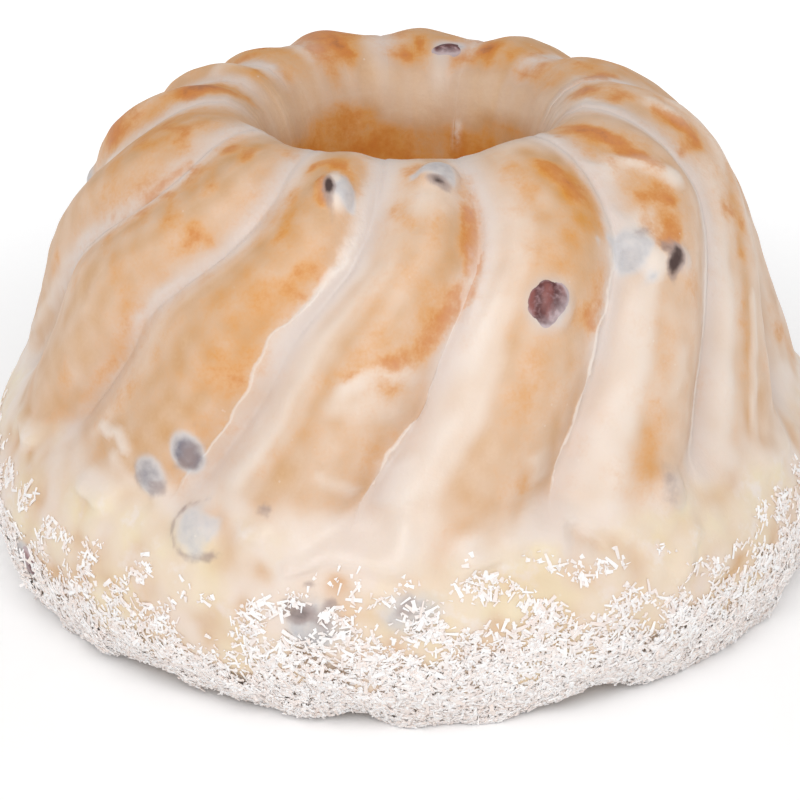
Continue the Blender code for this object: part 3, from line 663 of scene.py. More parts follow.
def glaze_layers(points, place, degrees, width):
    """The layers that colour and raise the crust, one value a grid point.

    film is the soft-edged glaze across a lobe and bank that of the valleys. rim is the distance to the crisp
    edge between them in half widths of that edge, above 0 on the bank. lip is where a white lip of glaze runs
    along it, on which the shader paints a highlight. pool is the glaze that has gathered at the foot and
    cream how creamy it is there. toast is how brown the crust is. All of them follow places that are moved a
    little, so that no edge is straight."""
    at = SimpleNamespace(points=points, degrees=degrees, width=width)
    around = place / FLUTES * TURN
    # Streaks are drawn on a short cylinder, so that they run down the crust
    cylinder = np.stack([0.095 * np.sin(around), 0.095 * np.cos(around), degrees * 0.0003], axis=-1)
    at.streak, at.run = wander(cylinder, 4.0, 9), wander(cylinder, 14.0, 10)
    at.place = place + wanders(points, (0.018, 13.0, 5), (0.010, 4.5, 6))
    at.warped = degrees + wanders(points, (1.2, 8.0, 7), (0.6, 3.2, 8))
    # The folds also change the glaze: thinner along a crease, where the darker crust is painted shade
    at.folds = strokes(at.place, at.warped, width, FOLDS)
    at.in_hole = eased(degrees + 1.8 * wander(points, 8.0, 22), 117.0, 121.0)
    far_side = np.abs((at.place + FLUTES / 2) % FLUTES - FLUTES / 2)
    at.far_crest = eased(far_side, 2.2, 4.4) * eased(degrees, 52.0, 82.0)
    return {**lobe_glaze(at), **foot_glaze(at), **browning(at)}


def wall_reach():
    """(degrees, reach) of the CAD's section down the wall, in rising order of station."""
    out, up = (section_rows()[:WALL_ROWS] - SECTION_MIDDLE).T
    return np.degrees(np.arctan2(up, out))[::-1], np.hypot(out, up)[::-1]


def crust_spot(azimuth, degrees):
    """(point, outward normal) of the bare crust at an azimuth and a station in degrees.

    The even azimuth is found by taking the stray away until it settles. The normal is the cross product of
    two short steps."""
    stations, reaches = wall_reach()

    def at(even, station):
        return crust_points(even, station, np.interp(station, stations, reaches), 1.0)[0]

    station = np.array([float(degrees)])
    unswirled = np.radians(azimuth) - swirl(station)
    even = unswirled
    for _ in range(20):
        even = unswirled - stray(even, station)
    along = at(even, station - 1.0) - at(even, station + 1.0)
    around = at(even + 0.01, station) - at(even - 0.01, station)
    normal = np.cross(along, around)
    return at(even, station), normal / np.linalg.norm(normal)


def turned(one, other, angle):
    """Two crossed directions, or the distances along them, after a turn from the first to the second."""
    return one * np.cos(angle) + other * np.sin(angle), other * np.cos(angle) - one * np.sin(angle)


def lying_on(normal, turn):
    """Unit vectors (along, across) of things on the crust with these normals, turned from the level line."""
    level = np.cross((0.0, 0.0, 1.0), normal)
    level /= np.linalg.norm(level, axis=-1, keepdims=True)
    return turned(level, np.cross(normal, level), turn)


@functools.lru_cache(maxsize=1)
def raisin_seats():
    """[(centre, axes, half sizes, cover, bare side, seen)] of every raisin, in metres and radians."""
    seats = []
    for azimuth, station, length, width, turn, cover, side, seen in RAISINS:
        point, normal = crust_spot(azimuth, station)
        half = np.array([length, width, width * RAISIN_HEIGHT_SHARE]) * MM / 2
        centre = point - normal * 2 * half[2] * RAISIN_SUNK_SHARE
        axes = np.stack([*lying_on(normal, math.radians(turn)), normal])
        seats.append((centre, axes, half, cover, math.radians(side - turn), seen))
    return seats


def glaze_on_raisin(unit, cover, side):
    """How far glaze reaches over a raisin, above 0 where it covers it. unit is places in its half sizes."""
    return (2 * cover - 1) * 1.3 - unit[..., 0] * math.cos(side) - unit[..., 1] * math.sin(side)


def cover_raisins(points):
    """(points, grey, slit) of the crust with the glaze drawn over each raisin as far as it covers it.

    Where the glaze covers it, the crust is moved out to the raisin's ellipsoid and a film more, with a soft
    maximum. Where it is bare only its edge is covered. grey is how much the raisin shows through, and slit
    how dark the crust is beside it: the raisin's skin and painted shade in the gaps and dips there."""
    grey, slit = np.zeros(points.shape[:-1]), np.zeros(points.shape[:-1])
    bare, seats = points, raisin_seats()
    for centre, axes, half, cover, side, seen in seats:
        local = (points - centre) @ axes.T / half
        flat = np.hypot(local[..., 0], local[..., 1])
        close = (flat < 2.0) & (np.abs(local[..., 2]) < 3.0)
        covered = eased(glaze_on_raisin(local, cover, side), -0.3, 0.3)
        over = covered + (1 - covered) * (3.0 * eased(flat, 0.88, 1.14) - 2.0)
        dome = np.sqrt(np.clip(1 - (flat / 1.12) ** 2, 0, 1)) * half[2] + RAISIN_FILM * over
        need = dome - local[..., 2] * half[2]
        lift = 0.5 * (need + np.sqrt(need**2 + RAISIN_BLEND**2)) * (1 - eased(flat, 1.0, 1.3)) * close
        points = points + lift[..., None] * axes[2]
        grey = np.maximum(grey, close * seen * (1 - eased(flat, 0.45, 1.35)))
    uneven = 1 + 0.25 * wander(bare, 2.6, 17)
    for number, right, up, long, wide, turn, dark in SLITS:
        centre, axes = seats[number - 1][:2]
        away = (bare - centre) @ np.stack([*lying_on(axes[2], 0.0), axes[2]]).T / MM
        x, y = away[..., 0] - right, away[..., 1] - up
        along, across = turned(x, y, math.radians(turn))
        near = np.hypot(along / (long + 0.3), across / (wide + 0.3)) * uneven
        close = np.abs(away[..., 2]) < 12.0
        slit = np.maximum(slit, dark * np.exp(-(near**2.5)) * close)
        grey = np.maximum(grey, -dark * (1 - eased(near, 0.55, 1.25)) * close)
    return points, grey, slit


def dusting(points):
    """How thick the coconut lies: full at the foot, thinning out in clumps up to an uneven edge."""
    azimuth, height = azimuth_of(points), points[..., 2] / MM
    clump = wander(points, 5.0, 31)
    middle = COCONUT_TOP + 2.0 * wander(points * (1, 1, 0), 22.0, 32)
    middle = middle + 4.0 * eased(np.abs(azimuth), 0.75, 1.2) + bells(azimuth, COCONUT_RISES)
    full = 1 - eased(height, middle - 17.0 + 2.0 * clump, middle + 10.0 + 5.0 * clump)
    full = full * (1 - 0.68 * eased(wander(points, 6.0, 34), -0.1, 0.9) * eased(height, 3.0, 12.0))
    thin = 0.34 * eased(clump, -0.3, 1.0) * (1 - eased(height, middle + 7.0, middle + 17.0))
    return np.maximum(full, thin)


def crust_grid():
    """(points, place in flutes, degrees) of the bare crust, on the CAD's formula and a finer grid.

    The foot's band is smoothed round the cake, and the base is flat between the wall and the hole."""
    rows = section_rows()
    out, up = (rows - SECTION_MIDDLE).T
    degrees, reach = np.degrees(np.arctan2(up, out)), np.hypot(out, up)
    degrees[WALL_ROWS:] %= 360.0
    columns = COLUMNS_PER_FLUTE * FLUTES
    around = (np.arange(columns) + 0.5) / columns * TURN
    even = FIRST_VALLEY + around - RIM_CROWDING * np.sin(FLUTES * around - TURN * RIM_PLACE) / FLUTES
    even, degrees = np.broadcast_arrays(even[None, :], degrees[:, None])
    points = crust_points(even, degrees, reach[:, None], eased(rows[:, 1:], 0.0, 0.012))
    share = np.linspace(0, 1, BASE_ROWS + 2)[1:-1, None, None]
    points[WALL_ROWS:FIRST_BORE] = points[WALL_ROWS - 1] * (1 - share) + points[FIRST_BORE] * share
    smooth = (1 - eased(degrees, -10.0, 6.0))[..., None]
    for _ in range(16):
        beside = 0.5 * (np.roll(points, 1, axis=1) + np.roll(points, -1, axis=1))
        points = points + 0.5 * smooth * (beside - points)
    return points, flute_place(even), degrees


def glaze_thickness(points, place, degrees, width, layers):
    """How high the glaze stands, in glaze heights: its film, the banks that fill the valleys, with a bead
    along their crisp edge, the pool at the foot, the folds and low lumps."""
    crisp = eased(layers["rim"], -1.0, 1.0)
    bead = 0.35 * bell(layers["rim"], 0.9, 1.1) * (1 - eased(degrees, 60.0, 78.0)) * (place % 1.0 > 0.75)
    bead = bead * eased(degrees, -6.0, 6.0)
    filled = 0.75 * bell(from_valley(place, width), 0.0, 2.6)
    filled = filled * eased(degrees, -20.0, -6.0) * (1 - eased(degrees, 90.0, 110.0))
    glaze = layers["film"] * (1 - crisp) + layers["bank"] * crisp
    folds = strokes(place, degrees + wander(points, 8.0, 24), width, FOLDS)
    thick = glaze * (0.8 + bead) + 0.45 * layers["pool"] + filled + folds
    return thick + wanders(points, (0.14, 9.0, 13), (0.07, 3.5, 14))


@functools.lru_cache(maxsize=2)
def glazed_skin(glaze_height, uneven_foot):
    """(points, normals, layers) of the glazed crust on a grid that closes both ways.

    The bare crust moved out along its section's normal by the glaze, on the wall and on the upper part of the
    hole, then drawn over the raisins, and lifted off the table here and there at its edge."""
    points, place, degrees = crust_grid()
    radius = np.hypot(points[..., 0], points[..., 1])
    width = TURN * radius / MM / FLUTES
    layers = glaze_layers(points, place, degrees, width)
    raised = glaze_height * glaze_thickness(points, place, degrees, width, layers)

    row = np.arange(len(points))[:, None]
    glazed = (row < WALL_ROWS) + (row >= FIRST_BORE) * eased(points[..., 2], 0.03, 0.07)
    azimuth, station = azimuth_of(points), np.radians(degrees)
    flat = np.cos(station)
    outwards = np.stack([flat * np.sin(azimuth), -flat * np.cos(azimuth), np.sin(station)], axis=-1)
    points = points + outwards * (raised * glazed)[..., None]
    # Painted shade: how near a point is to a valley, where the shader greys the glaze
    hollow = bell(from_valley(place, width), 0.0, 5.0) * eased(degrees, -16.0, 0.0)
    layers["hollow"] = hollow * (1 - eased(degrees, 108.0, 116.0))
    layers["dusted"] = dusting(points) * (1 - eased(degrees, 120.0, 150.0))
    points, layers["grey"], layers["slit"] = cover_raisins(points)

    azimuth = azimuth_of(points)
    lifts = bells(azimuth, FOOT_LIFTS)
    behind = 0.6 * np.maximum(0.0, np.sin(5 * azimuth + 1.0)) ** 3 * (np.abs(azimuth) > 1.2)
    foot = (1 - eased(points[..., 2], 0.0, 0.014)) * eased(radius, 0.06, 0.088)
    points[..., 2] = np.maximum(points[..., 2], 0.0) + uneven_foot * (lifts + behind) * foot
    return points, grid_normals(points), layers


def mesh_object(name, points, faces, layers, material, smooth=True):
    """A mesh object at the origin, from arrays of points and faces, and {attribute: value of each point}."""
    mesh = bpy.data.meshes.new(name)
    mesh.from_pydata(np.asarray(points, float).reshape(-1, 3), [], faces)
    for label, values in layers.items():
        layer = mesh.attributes.new(label, "FLOAT", "POINT")
        layer.data.foreach_set("value", np.ascontiguousarray(values, np.float32).ravel())
    mesh.polygons.foreach_set("use_smooth", np.full(len(mesh.polygons), smooth))
    mesh.materials.append(material)
    mesh.update()
    piece = bpy.data.objects.new(name, mesh)
    bpy.context.scene.collection.objects.link(piece)
    return piece


def closed_grid_faces(rows, columns):
    """Quads of a grid that closes both ways, wound so that they face outwards."""
    i, j = np.meshgrid(np.arange(rows), np.arange(columns), indexing="ij")
    down, right = (i + 1) % rows, (j + 1) % columns
    quads = [i * columns + j, down * columns + j, down * columns + right, i * columns + right]
    return np.stack(quads, axis=-1).reshape(-1, 4)


def wire(node, inputs):
    """Links each of a node's inputs that is given a socket and sets the others, colours as opaque ones."""
    for key, value in inputs.items():
        socket = node.inputs[key]
        if isinstance(value, bpy.types.NodeSocket):
            node.id_data.links.new(value, socket)
        else:
            socket.default_value = (*value, 1.0) if socket.type == "RGBA" else value


def add_node(tree, kind, *values, inputs=None, out=0, **settings):
    """An output of a new node with these settings, its first inputs in order and others by name or number.

    kind is its type, after which an operation may stand."""
    kind, *operation = kind.split()
    node = tree.nodes.new("ShaderNode" + kind)
    if operation:
        node.operation = operation[0]
    for key, value in settings.items():
        setattr(node, key, value)
    wire(node, {**dict(enumerate(values)), **(inputs or {})})
    return node.outputs[out]


# Settings of the nodes that step smoothly from 0 to 1, and of those that lay a colour over another
SMOOTH = {"interpolation_type": "SMOOTHSTEP"}
COLOUR = {"data_type": "RGBA", "out": 2}


def new_material(name):
    """(material, its shader, add_node for its tree)."""
    material = bpy.data.materials.new(name)
    material.use_nodes = True
    tree = material.node_tree
    return material, tree.nodes["Principled BSDF"], functools.partial(add_node, tree)


def noises(add, where, *kinds):
    """Noise textures on Object coordinates, each given as (size in mm, detail, roughness)."""
    return [
        add("TexNoise", inputs={"Vector": where, "Scale": per_mm(size), "Detail": detail, "Roughness": rough})
        for size, detail, rough in kinds
    ]


def wire_food(shader, add, colour, relief, bump, roughness, ior, under):
    """Wires a shader whose bump is (strength, height in mm of relief) and which light goes into, under being
    (how much, the shares of it that are red, green and blue, how far in mm)."""
    weight, shares, reach = under
    inputs = {
        "Base Color": colour,
        "Normal": add("Bump", inputs={"Height": relief, "Strength": bump[0], "Distance": bump[1] * MM}),
        "Roughness": roughness,
        "IOR": ior,
        "Subsurface Weight": weight,
        "Subsurface Radius": shares,
        "Subsurface Scale": reach * MM,
    }
    wire(shader, inputs)


def glazed_crust(look):
    """Sugar glaze over baked yeast crust.

    The glaze is icing sugar and water: white where it is thick, clear where it is thin, so its cover is
    1 - exp(-thickness). Under it the crust goes from pale tan to brown. It dries to a soft gloss."""
    material, shader, add = new_material("sugar_glazed_crust")
    where = add("TexCoord", out="Object")
    blotch, mottle, fine, patch = noises(add, where, (7, 5, 0.6), (2.2, 3, 0.5), (0.7, 2, 0.5), (17, 3, 0.5))
    toast, rim, film, bank, pool, hollow, cream, lip, dusted, grey, slit = (
        add("Attribute", attribute_name=name, out="Fac")
        for name in "toast rim film bank pool hollow cream lip dusted grey slit".split()
    )
    # Each noise times a gain, and moved by an offset
    blotched, grained, dotted, frayed, runny, crumbly, veined = (
        add("Math MULTIPLY_ADD", noise, gain, offset)
        for noise, gain, offset in (
            (blotch, 0.40, -0.20),
            (mottle, 0.40, -0.20),
            (fine, 0.14, -0.07),
            (mottle, 2.0, -1.0),
            (blotch, 1.3, 0.35),
            (mottle, 1.6, 0.1),
            (mottle, 0.8, 0.6),
        )
    )

    # Crust: pale tan to brown
    toast = add("Math ADD", toast, blotched)
    toast = add("Math MULTIPLY_ADD", toast, grained, toast)
    toast = add("Math ADD", toast, dotted)
    crust = add("ValToRGB", toast)
    ramp = crust.node.color_ramp.elements
    ramp[0].color, ramp[1].color = (*look.pale_crust, 1.0), (*look.dark_crust, 1.0)
    for position, colour in ((0.35, look.tan_crust), (0.58, look.amber_crust), (0.80, look.toasted_crust)):
        ramp.new(position).color = (*colour, 1.0)

    # Glaze: how thick, with a crisp edge between film and bank, and thinner where the crust browned
    ragged = add("Math ADD", rim, frayed)
    crisp = add("MapRange", ragged, -0.7, 0.7, **SMOOTH)
    lobes = add("Math SUBTRACT", 1.0, crisp)
    valleys = add("Math MULTIPLY", crisp, bank)
    glaze = add("Math MULTIPLY", film, runny)
    glaze = add("Math ADD", add("Math MULTIPLY", lobes, glaze), valleys)
    browned = add("MapRange", toast, 0.38, 0.75, **SMOOTH)
    glaze = add("Math MULTIPLY", glaze, add("Math MULTIPLY_ADD", browned, -0.8, 1.0))
    thick = add("Math MULTIPLY_ADD", pool, 1.3, glaze)
    clear = add("Math EXPONENT", add("Math MULTIPLY", thick, -1.6))
    cover = add("Math SUBTRACT", 1.0, clear, use_clamp=True)

    # Its colour: white, greyed in the valleys by painted shade, and creamy to yellow at the foot, each laid
    # over the last
    yellow, whiter, creamier = (
        add("MapRange", noise, low, high, **SMOOTH)
        for noise, low, high in ((patch, 0.50, 0.66), (blotch, 0.52, 0.70), (patch, 0.34, 0.52))
    )
    foot = add("Mix", inputs={0: yellow, 6: look.cream_glaze, 7: look.yellow_glaze}, **COLOUR)
    foot = add("Mix", inputs={0: whiter, 6: foot, 7: look.white_glaze}, **COLOUR)
    icing = look.white_glaze
    # The first coat is painted shade, which greys the glaze in the valleys
    coats = ((hollow, 0.7, look.thin_shaded_glaze), (pool, 0.5, look.foot_glaze), (cream, creamier, foot))
    for share, gain, over in coats:
        share = add("Math MULTIPLY", share, gain)
        icing = add("Mix", inputs={0: share, 6: icing, 7: over}, **COLOUR)

    # A painted highlight on the lip along the rim, coconut dust, and small white specks that are painted
    # glints
    # Painted glints: small white dots scattered on the glaze
    glint_dot = add("TexVoronoi", inputs={"Vector": where, "Scale": per_mm(3.4), "Randomness": 1.0})
    lip_highlight, lip_highlight_end, crumbs, glint_dot, glint_patch = (
        add("MapRange", value, low, high, **SMOOTH)
        for value, low, high in (
            (ragged, -1.0, 0.0),
            (ragged, 1.4, 0.4),
            (dusted, 0.35, 0.95),
            (glint_dot, 0.10, 0.05),
            (patch, 0.50, 0.70),
        )
    )
    # The lip is laid white along the rim: thick glaze with a painted highlight
    lip = add("Math MULTIPLY", lip, blotch)
    lip_highlight = add("Math MULTIPLY", lip_highlight, lip_highlight_end)
    lip_highlight = add("Math MULTIPLY", lip_highlight, lip, use_clamp=True)
    dust = add("Mix", inputs={0: crumbs, 6: look.dust_thin, 7: look.dust_full}, **COLOUR)
    dusted = add("Math MULTIPLY", dusted, crumbly, use_clamp=True)
    glint_dot = add("Math MULTIPLY", glint_dot, glint_patch)

    # Raisins through the glaze, and the slits beside them, dark with the raisin's skin and painted shade
    seen = add("Math MULTIPLY", grey, veined, use_clamp=True)
    slit = add("Math ADD", slit, grained)
    hinted, veiled, edge, shade = (
        add("MapRange", value, low, high, **SMOOTH)
        for value, low, high in ((seen, 0.0, 0.45), (seen, 0.25, 1.0), (slit, 0.05, 0.45), (slit, 0.40, 1.0))
    )
    colour = crust
    for share, gain, over in (
        (cover, 1.0, icing),
        (lip_highlight, 1.0, look.white_glaze),
        (dusted, 0.8, dust),
        (hinted, 0.8, look.raisin_hinted),
        (veiled, 1.0, look.raisin_veiled),
        (edge, 0.7, look.raisin_edge_and_shadow),
        (shade, 0.95, look.raisin_in_shadow),
        (glint_dot, 0.35, look.white_glaze),
    ):
        share = add("Math MULTIPLY", share, gain)
        colour = add("Mix", inputs={0: share, 6: colour, 7: over}, **COLOUR)

    # Relief: the glaze's own height and three grains
    relief = add("Math MULTIPLY_ADD", lobes, film, valleys)
    relief = add("Math MULTIPLY", relief, 0.45)
    for noise, height in ((mottle, 0.12), (fine, 0.05), (blotch, 0.25)):
        relief = add("Math MULTIPLY_ADD", noise, height, relief)
    gloss = add("Math MULTIPLY_ADD", cover, -0.12, 0.5)
    wire_food(shader, add, colour, relief, (0.6, 1.0), gloss, 1.45, (0.08, (1.0, 0.75, 0.5), 2.5))
    return material


def raisin_flesh(look):
    """Dried grape skin, matt purple-brown and folded, darker in its folds by painted shade, with dried glaze
    over part of it.
    """
    material, shader, add = new_material("raisin_skin")
    (mottle,) = noises(add, add("TexCoord", out="Object"), (1.6, 4, 0.5))
    fold, veil = (add("Attribute", attribute_name=name, out="Fac") for name in ("fold", "veil"))
    veil = add("Math ADD", veil, add("Math MULTIPLY_ADD", mottle, 0.8, -0.4))
    raised, bloom, veil = (
        add("MapRange", value, low, high, **SMOOTH)
        for value, low, high in ((fold, -0.6, 0.9), (mottle, 0.5, 0.75), (veil, -0.6, 0.5))
    )
    veil = add("Math MULTIPLY", veil, 0.8)
    # The folds are painted darker, as shade in them
    colour = look.fold_shade_colour
    for share, over in ((raised, look.skin_colour), (bloom, look.sheen_colour), (veil, look.veil_colour)):
        colour = add("Mix", inputs={0: share, 6: colour, 7: over}, **COLOUR)
    wire_food(shader, add, colour, mottle, (0.35, 0.4), 0.42, 1.45, (0.1, (1.0, 0.4, 0.3), 1.0))
    return material


def dried_coconut(look):
    """Desiccated coconut: white, matt and a little see-through, each shred a slightly different white."""
    material, shader, add = new_material("desiccated_coconut")
    (grain,) = noises(add, add("TexCoord", out="Object"), (0.6, 2, 0.5))
    shade = add("Attribute", attribute_name="shade", out="Fac")
    shade = add("Math ADD", shade, add("Math MULTIPLY_ADD", grain, 0.5, -0.25))
    white = add("MapRange", shade, 0.0, 1.0, **SMOOTH)
    colour = add("Mix", inputs={0: white, 6: look.shade_colour, 7: look.shred_colour}, **COLOUR)
    wire_food(shader, add, colour, grain, (0.3, 0.1), 0.6, 1.4, (0.2, (1.0, 0.85, 0.75), 0.5))
    return material


def paper_floor(look):
    """White studio paper, matt, with a barely uneven tooth. Its glow is painted light, left out close round
    the cake as a painted shadow, and stronger further off.
    """
    material, shader, add = new_material("studio_paper")
    where = add("TexCoord", out="Object")
    (tooth,) = noises(add, where, (3, 2, 0.5))
    # Painted light and shadow: the glow is 0 close round the cake and rises further off
    away = add("VectorMath LENGTH", where, out="Value")
    near = add("MapRange", away, 0.078, 0.106, **SMOOTH)
    far = add("MapRange", away, 0.11, 0.42, **SMOOTH)
    near = add("Math MULTIPLY", near, look.floor_glow)
    inputs = {
        "Base Color": add("Mix", inputs={0: tooth, 6: look.floor_colour, 7: look.tooth_colour}, **COLOUR),
        "Roughness": 0.9,
        "Specular IOR Level": 0.1,
        "Emission Color": (1.0, 1.0, 1.0),
        "Emission Strength": add("Math MULTIPLY_ADD", far, look.backdrop_glow, near),
    }
    wire(shader, inputs)
    return material


def colour_property(name, description, code):
    """A colour from its sRGB hex code."""
    return FloatVectorProperty(
        name=name, description=description, subtype="COLOR", size=3, min=0.0, max=1.0, default=linear(code)
    )


def number_property(name, description, default, high, low=0.0, **kind):
    return FloatProperty(name=name, description=description, default=default, min=low, max=high, **kind)


def length_property(name, description, default, high):
    """A length, default and high in mm."""
    return number_property(name, description, default * MM, high * MM, subtype="DISTANCE", unit="LENGTH")


def count_property(name, description, default, high):
    return IntProperty(name=name, description=description, default=default, min=100, max=high)


class CrustSettings(bpy.types.PropertyGroup):
    glaze_height: length_property("Glaze height", "How high the thickest glaze stands on the crust", 0.9, 2)
    uneven_foot: length_property("Uneven foot", "How far the foot's edge lifts off at most", 4.4, 5)
    pale_crust: colour_property("Pale crust", "Crust where the tin kept it palest", "D6AD7F")
    tan_crust: colour_property("Tan crust", "Crust on most of a lobe", "C38E50")
    amber_crust: colour_property("Amber crust", "Crust that began to brown", "CF8A26")
    toasted_crust: colour_property("Toasted crust", "Crust where it browned", "C67412")
    dark_crust: colour_property("Dark crust", "Crust where it browned most", "9C540C")
    # Thin glaze in the valleys, greyed by painted shade
    thin_shaded_glaze: colour_property("Thin glaze", "Glaze in the shade of the valleys, which greys it", "CEC2BE")
    white_glaze: colour_property("White glaze", "Glaze where it is thick", "EADFD5")
    foot_glaze: colour_property("Foot glaze", "Glaze where the lobes end", "E3D0C3")
    cream_glaze: colour_property("Cream glaze", "Glaze gathered at the foot", "E6D5C0")
    yellow_glaze: colour_property("Yellow glaze", "Yellowest glaze at the foot", "E9DABD")
    dust_thin: colour_property("Thin coconut dust", "Crust between scattered shreds", "E8CBAA")
    dust_full: colour_property("Coconut dust", "Crumbs of coconut under the shreds", "EBD8CB")
    raisin_hinted: colour_property("Hinted raisin", "Raisin under thick glaze", "CBCACC")
    raisin_veiled: colour_property("Veiled raisin", "Raisin under thin glaze", "6E6B77")
    # Soft edge of a slit's dark, partly painted shade
    raisin_edge_and_shadow: colour_property("Raisin edge", "Soft edge of a raisin under the glaze", "9A8681")
    # A slit's darkest: the raisin's skin with painted shade in the gap
    raisin_in_shadow: colour_property("Raisin shade", "Slit beside a raisin", "3C2723")


class RaisinSettings(bpy.types.PropertyGroup):
    fold_depth: number_property(
        "Fold depth", "Depth of the folds, as a share of the radius", 0.03, 0.3, subtype="FACTOR"
    )
    skin_colour: colour_property("Skin", "Raised skin", "8A524D")
    # Skin in the folds, darkened by painted shade
    fold_shade_colour: colour_property("Folds", "Skin in the folds", "562A2A")
    sheen_colour: colour_property("Bloom", "Paler bloom on the skin", "957072")
    veil_colour: colour_property("Glaze", "Glaze dried on a raisin", "C9B9BC")


class CoconutSettings(bpy.types.PropertyGroup):
    shreds: count_property("Shreds", "Number of long shreds", 6400, 7000)
    slivers: count_property("Slivers", "Number of thin slivers", 9800, 9800)
    chips: count_property("Chips", "Number of short chips", 16000, 16000)
    crumbs: count_property("Crumbs", "Number of crumbs", 42000, 49000)
    shred_length: length_property("Shred length", "Length of a usual shred", 2.7, 6)
    shred_width: length_property("Shred width", "Width of a usual shred", 0.75, 2)
    shred_colour: colour_property("White", "Fresh white of a shred", "FEFCFB")
    shade_colour: colour_property("Shade", "Duller white of a shred", "F0E1D9")


class StageSettings(bpy.types.PropertyGroup):
    focal_length: number_property(
        "Focal length", "Lens of the camera on a 36 mm sensor", 113.36, 400.0, 10.0, unit="CAMERA"
    )
    sky_strength: number_property("Surround", "Brightness of the white surround", 0.60, 3.0)
    key_power: number_property(
        "Key light", "Power of the soft light from above the camera", 4.79, 100.0, subtype="POWER"
    )
    # The floor's glow is painted light, left out close round the cake as a painted shadow
    floor_glow: number_property("Floor glow", "Light of the floor's own, as on a light table", 0.12, 1.0)
    backdrop_glow: number_property("Backdrop glow", "How much more of it there is further off", 0.35, 1.0)
    floor_colour: colour_property("Floor", "White studio paper", "F6F6F7")
    tooth_colour: colour_property("Tooth", "Raised grain of the paper", "FAFAFA")


def finish_piece(piece, nodes):
    """Rides the piece on the cake and hides the CAD nodes that it stands for."""
    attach(piece, BODY)
    if nodes:
        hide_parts(*nodes)


class BABKA_OT_crust(bpy.types.Operator):
    """The glazed cake: a fine grid of the CAD's crust, raised by its glaze."""

    bl_idname = "babka.crust"
    bl_label = "Glazed cake"

    def execute(self, context):
        look = context.scene.babka_crust
        points, _, layers = glazed_skin(look.glaze_height, look.uneven_foot)
        faces = closed_grid_faces(*points.shape[:2])
        cake = mesh_object("glazed_cake", points, faces, layers, glazed_crust(look))
        finish_piece(cake, ["cake"])
        return {"FINISHED"}


def raisin_points(half, fold_depth, seed):
    """(points, folds) of a raisin in its own frame: an ellipsoid whose radius is pinched by long folds.

    Rings run from end to end along the length. A fold is where a slow wave passes through 0, so its depth is
    one less the wave's size, and shorter waves across them pucker the skin."""
    a = (np.arange(RAISIN_RINGS) + 1) / (RAISIN_RINGS + 1) * math.pi
    b = np.arange(RAISIN_SIDES) / RAISIN_SIDES * TURN
    a, b = np.meshgrid(a, b, indexing="ij")
    slim = np.sin(a)
    unit = np.stack([-np.cos(a), slim * np.cos(b), slim * np.sin(b)], axis=-1)
    skin = unit * half
    long_folds = 1 - 2.0 * np.abs(wander(skin * (0.45, 1.0, 1.0), 3.0, seed))
    puckers = 1 - 2.2 * np.abs(wander(skin, 1.5, seed + 100))
    folds = np.clip(long_folds, -1, 1) * 0.8 + np.clip(puckers, -1, 1) * 0.2
    five_sided = 0.02 * slim * np.cos(5 * b + 2.0 * unit[..., 0])
    size = 1.0 - fold_depth * (folds + 0.3) * slim + five_sided
    ends = np.array([[-1.0, 0, 0], [1.0, 0, 0]]) * half
    return np.vstack([(skin * size[..., None]).reshape(-1, 3), ends]), np.r_[-folds.ravel(), 0.0, 0.0]


def capped_tube_faces(rings, around):
    """Faces of a tube closed by a fan at each end, wound outwards for rings that run along +X."""
    i, j = np.meshgrid(np.arange(rings - 1), np.arange(around), indexing="ij")
    right = (j + 1) % around
    ring, after = i * around, (i + 1) * around
    quads = np.stack([ring + j, ring + right, after + right, after + j], axis=-1)
    j, right, last = j[0], right[0], (rings - 1) * around
    start = np.stack([np.full(around, rings * around), right, j], axis=-1)
    end = np.stack([np.full(around, rings * around + 1), last + j, last + right], axis=-1)
    return quads.reshape(-1, 4).tolist() + np.vstack([start, end]).tolist()


class BABKA_OT_raisins(bpy.types.Operator):
    """Raisins in the crust, folded and part glazed, each on its CAD seat."""

    bl_idname = "babka.raisins"
    bl_label = "Raisins"

    def execute(self, context):
        look = context.scene.babka_raisins
        faces = capped_tube_faces(RAISIN_RINGS, RAISIN_SIDES)
        all_points, all_faces, layers = [], [], {"fold": [], "veil": []}
        for number, (centre, axes, half, cover, side, _) in enumerate(raisin_seats()):
            local, folds = raisin_points(half, look.fold_depth, 60 + number)
            all_points.append(local @ axes + centre)
            all_faces += [[number * len(local) + v for v in face] for face in faces]
            unit = local / half
            edge = eased(np.hypot(unit[:, 0], unit[:, 1]), 0.60, 1.0)
            layers["veil"].append(glaze_on_raisin(unit, cover, side) + 1.6 * edge + 0.3)
            layers["fold"].append(folds)
        layers = {name: np.concatenate(values) for name, values in layers.items()}
        raisins = mesh_object("raisins", np.vstack(all_points), all_faces, layers, raisin_flesh(look))
        finish_piece(raisins, RAISIN_NODES)
        return {"FINISHED"}


